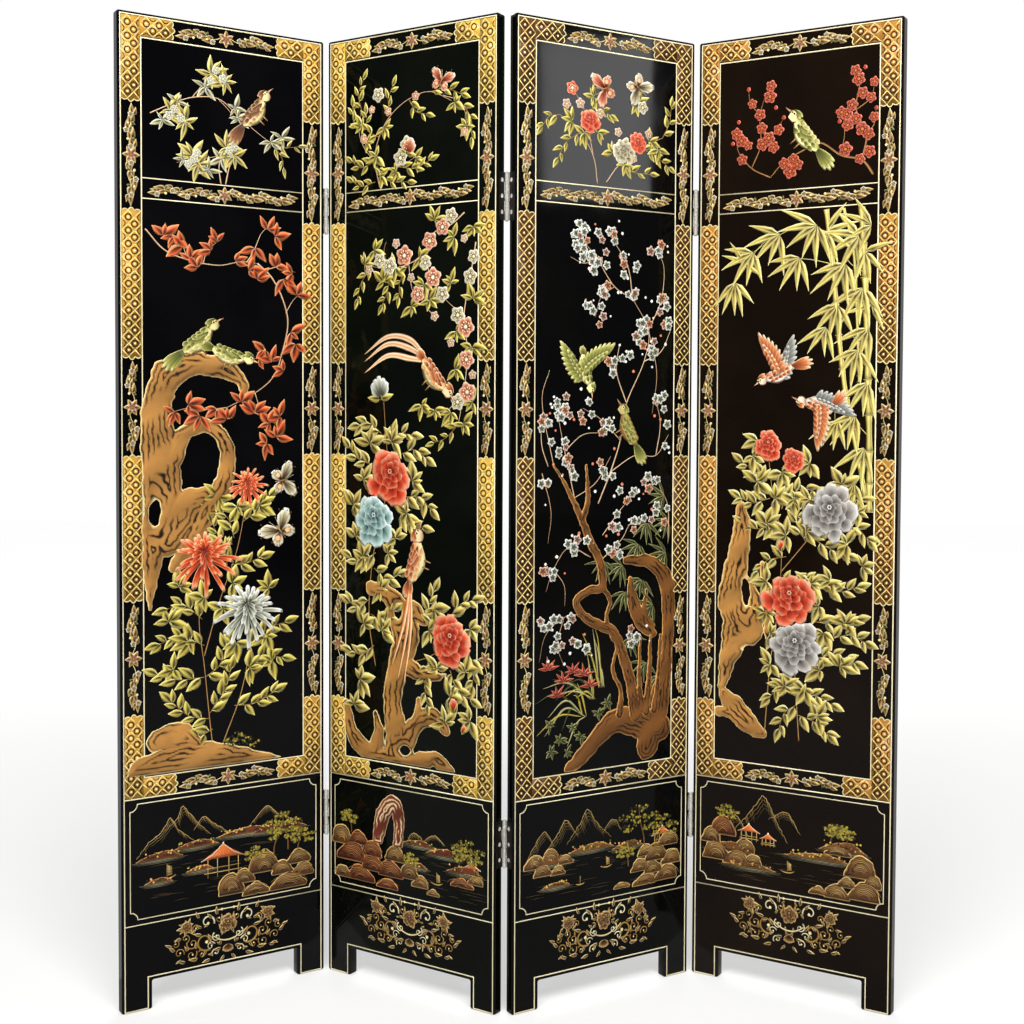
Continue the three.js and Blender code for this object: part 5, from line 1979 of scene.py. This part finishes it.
finish_picture(work, "panel_3_main_picture")

# %% Panel 3, river landscape
work = Relief(34)
far_view(work, LAND_GOLD * 0.8, (([(24, 1556), (50, 1520), (70, 1498), (92, 1530)], 34),
    ([(70, 1540), (104, 1500), (120, 1484), (146, 1520)], 44), ([(120, 1530), (152, 1490), (166, 1470),
    (190, 1500), (222, 1530)], 50), ([(200, 1520), (226, 1496), (246, 1520)], 26)), ROCK_BROWN,
    ((24, 140, 1562, 10), (120, 230, 1548, 8), (220, 300, 1556, 8), (60, 130, 1606, 6)),
    (40, 350, 1560, 1636, 44))
boat(work, (210, 1586), 26, LAND_GOLD)
boat(work, (150, 1610), 20, LAND_GOLD, sail=False)
boulders(work, ((46, 1566), 46, 30), ((84, 1558), 46, 28), ((118, 1566), 40, 20), ((66, 1582), 46, 26),
    ((100, 1584), 40, 20), ((356, 1566), 56, 30), ((306, 1580), 50, 26), ((330, 1592), 60, 36),
    ((364, 1604), 50, 32), ((290, 1608), 50, 28), ((322, 1616), 50, 28), ((352, 1634), 60, 34),
    ((300, 1636), 70, 26), ((246, 1634), 50, 14))
pines(work, ((300, 1574), 90, -14), ((326, 1580), 70, 18), ((262, 1594), 40, -8))
pavilion(work, (342, 1530), 44, LAND_ORANGE)
finish_picture(work, "panel_3_river_picture")

# %% [markdown]
# ## Panel 4: bamboo and roses
#
# Bamboo bends in from the right, its leaves in pale gold. Two orange birds fly beneath it, and red roses,
# grey peonies and a red peony rise beside a tall pierced rock.

# %% Panel 4, upper field
WARM_WOOD = look_of((240, 206, 140), (176, 124, 66), (84, 48, 24))

work = Relief(41)
twigs(work, (5.0, (352, 280), (330, 252), (290, 240), (250, 214), (212, 226), (176, 244), (150, 270)),
    (4.4, (330, 252), (338, 206), (318, 160), (324, 110), (316, 84)), (2.6, (318, 160), (346, 140),
    (352, 112)), (2.6, (338, 206), (352, 190), (356, 160)), (3.0, (150, 270), (112, 250), (84, 216),
    (80, 180)), (2.6, (112, 250), (130, 206), (128, 150), (146, 96)), (2.2, (128, 150), (108, 126),
    (104, 100)), (2.2, (290, 240), (296, 200), (290, 160)), (2.2, (130, 206), (160, 186), (176, 160)),
    look=WARM_WOOD)
blossoms(work, 14, PETAL_WINE, [(146, 196), (90, 196), (148, 118), (310, 150), (330, 196), (298, 230),
    (322, 104), (156, 214), (134, 206), (318, 176), (300, 166), (330, 130), (204, 250), (190, 262)],
    heart=LAND_ORANGE)
blossoms(work, 12, PETAL_WINE, [(80, 182), (104, 206), (132, 176), (166, 182), (196, 240), (112, 128),
    (128, 150), (346, 140), (352, 112), (316, 88), (290, 162), (342, 206), (352, 176), (326, 250),
    (178, 246), (92, 232), (150, 98), (302, 186), (344, 238)], heart=LAND_ORANGE)
for spot in [(104, 100), (176, 160), (72, 200), (356, 160), (334, 84), (286, 178), (160, 140), (84, 160)]:
    dot(work, spot, 4.2, PETAL_WINE.rim, PETAL_WINE.body, 0.3)
bird(work, (220, 196), 128, 92, FEATHER_OLIVE, CREAM, level=0.5, flip=-1, tail=0.9)
finish_picture(work, "panel_4_upper_picture")

# %% Panel 4, rock
work = Relief(42)
rock(work, [([(98, 900), (99, 940), (92, 990), (86, 1040), (96, 1090), (106, 1130)],
    [22, 40, 44, 56, 92, 80]), ([(142, 1006), (150, 1082), (155, 1148)], [10, 20, 14]),
    ([(92, 1140), (72, 1196), (60, 1250)], [66, 36, 18]), ([(64, 1262), (88, 1292), (122, 1322),
    (148, 1336)], [22, 50, 42, 18]), ([(54, 1300), (84, 1300)], [20, 30])], ROCK,
    holes=((108, 1062, 8, 24), (120, 1172, 14, 6)), layer=9, cell=2)
finish_picture(work, "panel_4_garden_rock")

# %% Panel 4, bamboo, birds and flowers
work = Relief(43)
CANE = look_of((244, 232, 150), (178, 158, 60), (84, 72, 26))
culm(work, [(262, 338), (276, 440), (288, 560), (304, 680), (330, 800), (346, 880)], 11, CANE)
culm(work, [(330, 338), (338, 460), (344, 600), (350, 760), (352, 900)], 13, CANE)
culm(work, [(296, 338), (316, 420), (324, 540), (330, 660)], 6, CANE)
for points in ([(276, 440), (236, 430), (206, 426)], [(266, 380), (216, 366), (170, 380), (116, 410)],
        [(292, 560), (270, 540), (262, 520)], [(340, 460), (310, 440), (300, 420)],
        [(346, 600), (322, 580), (310, 570)], [(350, 760), (330, 740), (320, 730)],
        [(306, 680), (286, 700), (284, 730)], [(170, 380), (130, 400), (76, 470)]):
    stroke(work, points, [2.2, 1.2], CANE.heart, CANE.rim, 0.04)
for place, angles, length in (((244, 366), (150, 178, 206, 236, 264, 300), 66),
        ((170, 378), (160, 190, 216, 246, 280), 62), ((116, 410), (170, 200, 228, 256, 290), 62),
        ((78, 466), (222, 246, 268, 292, 318), 60), ((210, 424), (180, 206, 232, 260, 292), 60),
        ((262, 380), (20, 60, 330, 300), 56), ((326, 390), (130, 165, 200, 235, 268), 66),
        ((336, 420), (20, 320, 290, 250), 56), ((300, 440), (190, 215, 242, 268, 296), 66),
        ((334, 486), (200, 230, 258, 284, 312), 66), ((286, 516), (196, 224, 250, 278, 306), 62),
        ((346, 560), (196, 222, 250, 278), 60), ((264, 556), (206, 232, 260, 288), 56),
        ((326, 600), (200, 226, 254, 282, 308), 62), ((346, 660), (206, 232, 258, 284), 62),
        ((322, 720), (200, 228, 256, 284), 60), ((288, 730), (210, 236, 262, 290), 58),
        ((340, 780), (212, 238, 264, 290), 62), ((322, 846), (222, 248, 272, 296), 54),
        ((352, 520), (160, 190, 300), 50), ((96, 430), (120, 150, 330), 44), ((350, 372),
        (150, 120, 200, 240), 54)):
    lances(work, place, angles, length * 1.2, CANE_LEAF, 0.2)
bird(work, (170, 642), 208, 74, FEATHER_ORANGE, FEATHER_GREY.rim, (112, 64), 0.6, -1, far=FEATHER_GREY,
    tail_turn=-16)
bird(work, (250, 704), 158, 74, FEATHER_ORANGE, FEATHER_GREY.rim, (-84, -14), 0.75, 1, far=FEATHER_GREY,
    tail_turn=72)
for points in ([(150, 1330), (160, 1200), (176, 1080), (180, 960), (160, 860), (152, 790)],
        [(180, 1020), (230, 960), (272, 910)], [(176, 1100), (196, 1080), (210, 1160)],
        [(180, 900), (196, 850), (202, 810)], [(220, 1340), (214, 1260), (208, 1180)]):
    stroke(work, points, [3.4, 2.4, 1.8], BARK_DARK, BARK_LIGHT, 0.0)
stems(work, 34, LEAF_GOLD, [(160, 840), (126, 830), (100, 812)], [(156, 880), (120, 890), (96, 880)],
    [(182, 880), (220, 860), (252, 866)], [(170, 930), (130, 940), (106, 930)],
    [(230, 960), (212, 930), (216, 900)], [(190, 990), (150, 1000), (134, 1020)],
    [(240, 950), (276, 970), (310, 980)], [(272, 910), (310, 880), (336, 876)],
    [(180, 1040), (230, 1030), (262, 1040)], [(262, 1040), (296, 1050), (330, 1040)],
    [(300, 930), (330, 930), (350, 950)], [(214, 1260), (250, 1250), (282, 1262)],
    [(214, 1230), (180, 1240), (160, 1262)], [(216, 1290), (250, 1300), (276, 1320)],
    [(250, 1180), (290, 1170), (326, 1180)], [(250, 1110), (290, 1110), (330, 1100)],
    [(216, 1270), (190, 1290), (180, 1320)], [(280, 1140), (316, 1130), (346, 1140)], gap=12, width=0.52)
leaf_groups(work, 33, LEAF_GOLD, 5, [(120, 800), (180, 830), (236, 812), (130, 850), (166, 880),
    (206, 880), (230, 940), (150, 930), (190, 950), (310, 960), (330, 900), (236, 880), (300, 850),
    (150, 1040), (240, 1040), (280, 1030), (256, 1080), (150, 1100), (160, 1140), (266, 1130), (160, 1200),
    (260, 1200), (230, 1240), (300, 1190), (190, 1240), (256, 1290), (310, 1110), (130, 770), (340, 1000)],
    0.16, width=0.52)
bud(work, (180, 980), 92, 22, PETAL_RED, 0.5)
peony(work, (152, 780), 32, PETAL_RED, 0.6)
peony(work, (204, 806), 27, PETAL_RED, 0.64, 20)
peony(work, (276, 906), 56, PETAL_GREY, 0.6, 6)
peony(work, (210, 1162), 56, PETAL_GREY, 0.56, 12)
peony(work, (198, 1072), 56, PETAL_RED, 0.66)
finish_picture(work, "panel_4_main_picture")

# %% Panel 4, river landscape
work = Relief(44)
far_view(work, LAND_GOLD * 0.9, (([(24, 1560), (60, 1520), (90, 1500), (120, 1540)], 40),
    ([(90, 1530), (130, 1480), (150, 1456), (176, 1500), (200, 1540)], 60), ([(160, 1500), (196, 1480),
    (226, 1520)], 34)), ROCK_BROWN, ((24, 130, 1574, 12), (190, 330, 1562, 8), (260, 360, 1540, 12),
    (60, 180, 1600, 7)), (90, 360, 1560, 1626, 44))
for centre, wide, high in (((66, 1544), 55, 40), ((40, 1562), 40, 34), ((110, 1572), 50, 30),
        ((52, 1594), 60, 40), ((92, 1598), 60, 34), ((128, 1592), 40, 22), ((300, 1548), 70, 20),
        ((344, 1584), 60, 46), ((368, 1600), 36, 30), ((318, 1606), 46, 22), ((352, 1626), 70, 40),
        ((300, 1630), 60, 30), ((262, 1628), 44, 18)):
    boulder(work, centre, wide, high, ISLAND if wide == 55 else BOULDER)
pavilion(work, (120, 1518), 40, LAND_ORANGE)
pavilion(work, (160, 1530), 30, LAND_ORANGE)
pines(work, ((286, 1536), 44, 8), ((320, 1532), 40, -8), ((80, 1530), 44, -8))
boat(work, (200, 1596), 28, LAND_GOLD)
finish_picture(work, "panel_4_river_picture")

# %% [markdown]
# ## The apron ornament
#
# Below the landscape each panel has the same gold ornament: a flower over a lotus base, scrolls that curl
# away to both sides, and a small rose at each shoulder. It is drawn for one half and mirrored, as such
# work is.

# %% Draw the apron ornament on every panel
ORNAMENT_MIDDLE = 205
ORNAMENT_DROP = 47


def curl(relief, place, radius, start, turns, hand, width, paint):
    """A scroll that tightens to its middle and ends in a drop."""
    line = []
    for share in np.linspace(0, 1, int(14 * turns) + 4):
        angle = start + hand * 360 * turns * share
        line.append(np.asarray(place) + turned(angle) * radius * (1 - 0.82 * share))
    thin(relief, line, [width, width * 0.7, width * 0.4], paint, 0.04)
    dot(relief, line[-1], width * 0.7, paint, CREAM, 0.1)


def apron_ornament(panel, seed):
    """The ornament of one panel, each half the mirror image of the other."""
    ornament = Relief(seed)
    middle = VIEW_BOTTOMS[panel] + RULE_BELOW_VIEW + ORNAMENT_DROP
    for side in (1, -1):
        def across(offset):
            return ORNAMENT_MIDDLE + side * offset

        for offset, down, radius, start, turns, hand, width, paint in ((41, -27, 15, 200, 0.9, -1, 4.2,
                GOLD), (45, 8, 20, 240, 0.95, 1, 5.0, GOLD_DEEP), (70, 8, 12, 20, 1.2, -1, 2.6, GOLD_DEEP),
                (72, 29, 11, 150, 1.1, 1, 2.6, GOLD_DEEP), (96, 22, 10, 200, 1.1, -1, 2.4, GOLD_DEEP),
                (24, 34, 9, 320, 1.0, 1, 2.6, GOLD), (62, -20, 8, 320, 1.1, 1, 2.4, GOLD_DEEP),
                (103, 4, 8, 90, 1.0, 1, 2.2, GOLD_DEEP), (18, -30, 9, 120, 1.0, 1, 2.6, GOLD_DEEP),
                (22, 4, 10, 60, 1.0, -1, 2.8, GOLD), (52, 32, 9, 40, 1.1, 1, 2.4, GOLD_DEEP),
                (84, -4, 9, 250, 1.1, -1, 2.2, GOLD_DEEP), (34, 20, 9, 160, 1.0, -1, 2.4, GOLD)):
            begin = start if side > 0 else 180 - start
            curl(ornament, (across(offset), middle + down), radius, begin, turns, hand * side, width,
                paint)
        for offset, down, angle, length in ((20, -38, 60, 16), (30, -34, 20, 14), (56, -38, 40, 14),
                (60, 38, -20, 18), (84, 40, -8, 16), (104, 16, 20, 16), (110, 6, 0, 14), (36, 43, -40, 16),
                (52, -6, -10, 16), (78, 20, 30, 12), (92, 34, -50, 12), (30, 8, 30, 15), (14, 26, -30, 15),
                (92, -6, -30, 13), (62, 20, 60, 13), (10, -22, 60, 13), (70, -8, 100, 12),
                (44, 26, -80, 13), (8, 42, -70, 13)):
            heading = angle if side > 0 else 180 - angle
            leaf(ornament, (across(offset), middle + down), heading, length, SCROLL, 0.1, 0.46, 0.4 * side)
        leaf_rosette(ornament, (across(82), middle - 25), 17, SCROLL, 10, 0.1, 10, 0.4)
        peony(ornament, (across(82), middle - 25), 13, ROSE_GOLD, 0.16)
        dot(ornament, (across(12), middle - 47), 2.6, CREAM, CREAM, 0.2)
    peony(ornament, (ORNAMENT_MIDDLE, middle - 17), 19, ROSE_GOLD, 0.16)
    for k in range(5):
        print_stamp(ornament, PETAL_STAMP, (ORNAMENT_MIDDLE, middle + 22), 230 + 20 * k, 17, 9, ROSE_GOLD,
            0.2 + 0.02 * k)
    stroke(ornament, [(176, middle + 2), (190, middle + 11), (ORNAMENT_MIDDLE, middle + 14),
        (220, middle + 11), (234, middle + 2)], [2.2, 3.8, 2.2], GOLD_DEEP, GOLD, 0.3, step=4)
    for _ in range(12):
        turn = ornament.rng.uniform(0, 3.14)
        reach = ornament.rng.uniform(0.3, 1.0)
        offset, down = 108 * reach * math.sin(turn), 44 * reach * math.cos(turn) + 4
        heading = ornament.rng.uniform(0, 360)
        length = ornament.rng.uniform(8, 13)
        for side in (1, -1):
            leaf(ornament, (ORNAMENT_MIDDLE + side * offset, middle + down),
                heading if side > 0 else 180 - heading, length, SCROLL, 0.02, 0.5, 0.3 * side)
    make_piece(ornament, panel + "_apron_ornament", panel, gold_paint)


for number, panel in enumerate(PANEL_PLACES):
    apron_ornament(panel, 50 + number)

# %% [markdown]
# ## The back of the panels
#
# The back can't be seen in the photograph. Such screens are nearly always plainer behind: black lacquer, a
# gold line round each panel and one sparse gold spray. That is what the back gets, drawn with the same
# brush.

# %% Draw the back
DULL_GOLD = look_of((226, 196, 128), (160, 124, 60), (52, 36, 14))


def paint_back(panel, seed):
    """A gold line, a hollow-cornered frame and one bamboo spray, a little different on each panel."""
    reverse = Relief(seed)
    edge_line(reverse, 2.6, DULL_GOLD.rim)
    gold_line(reverse, hollow_corners(30, 30, 376, 1640, 22), 2.4, DULL_GOLD.rim, close=True)
    root = reverse.rng.uniform(120, 280)
    lean = reverse.rng.uniform(-46, 46)
    stem = [(root, 1600), (root + lean * 0.3, 1420), (root + lean * 0.9, 1240), (root + lean * 1.6, 1080)]
    culm(reverse, stem, 8, DULL_GOLD)
    culm(reverse, [(root + 26, 1604), (root + 34, 1480), (root + 52, 1350)], 5, DULL_GOLD)
    for share, turn in ((0.98, 60), (0.9, -50), (0.76, 55), (0.62, -60), (0.48, 50), (0.34, -55)):
        joint = curve_through(stem, 4)[int(share * 130)]
        tip = joint + turned(90 - turn) * 46
        stroke(reverse, [joint, (joint + tip) / 2 + (0, -5), tip], [1.8, 1.0], DULL_GOLD.heart,
            DULL_GOLD.rim)
        lances(reverse, tip, [90 - turn * 1.2 + k * 30 - 60 for k in range(5)], 62, DULL_GOLD, 0.1)
    for k in range(12):
        blade = (root + reverse.rng.uniform(-90, 110), 1604 - reverse.rng.uniform(30, 90))
        foot = (root + reverse.rng.uniform(-20, 40), 1606)
        stroke(reverse, [foot, (foot[0] * 0.7 + blade[0] * 0.3, blade[1] + 20), blade], [1.6, 3.0, 0.5],
            DULL_GOLD.heart, DULL_GOLD.body)
    make_piece(reverse, panel + "_back_gilding", panel, gold_paint, back=True)


for number, panel in enumerate(PANEL_PLACES):
    paint_back(panel, 60 + number)
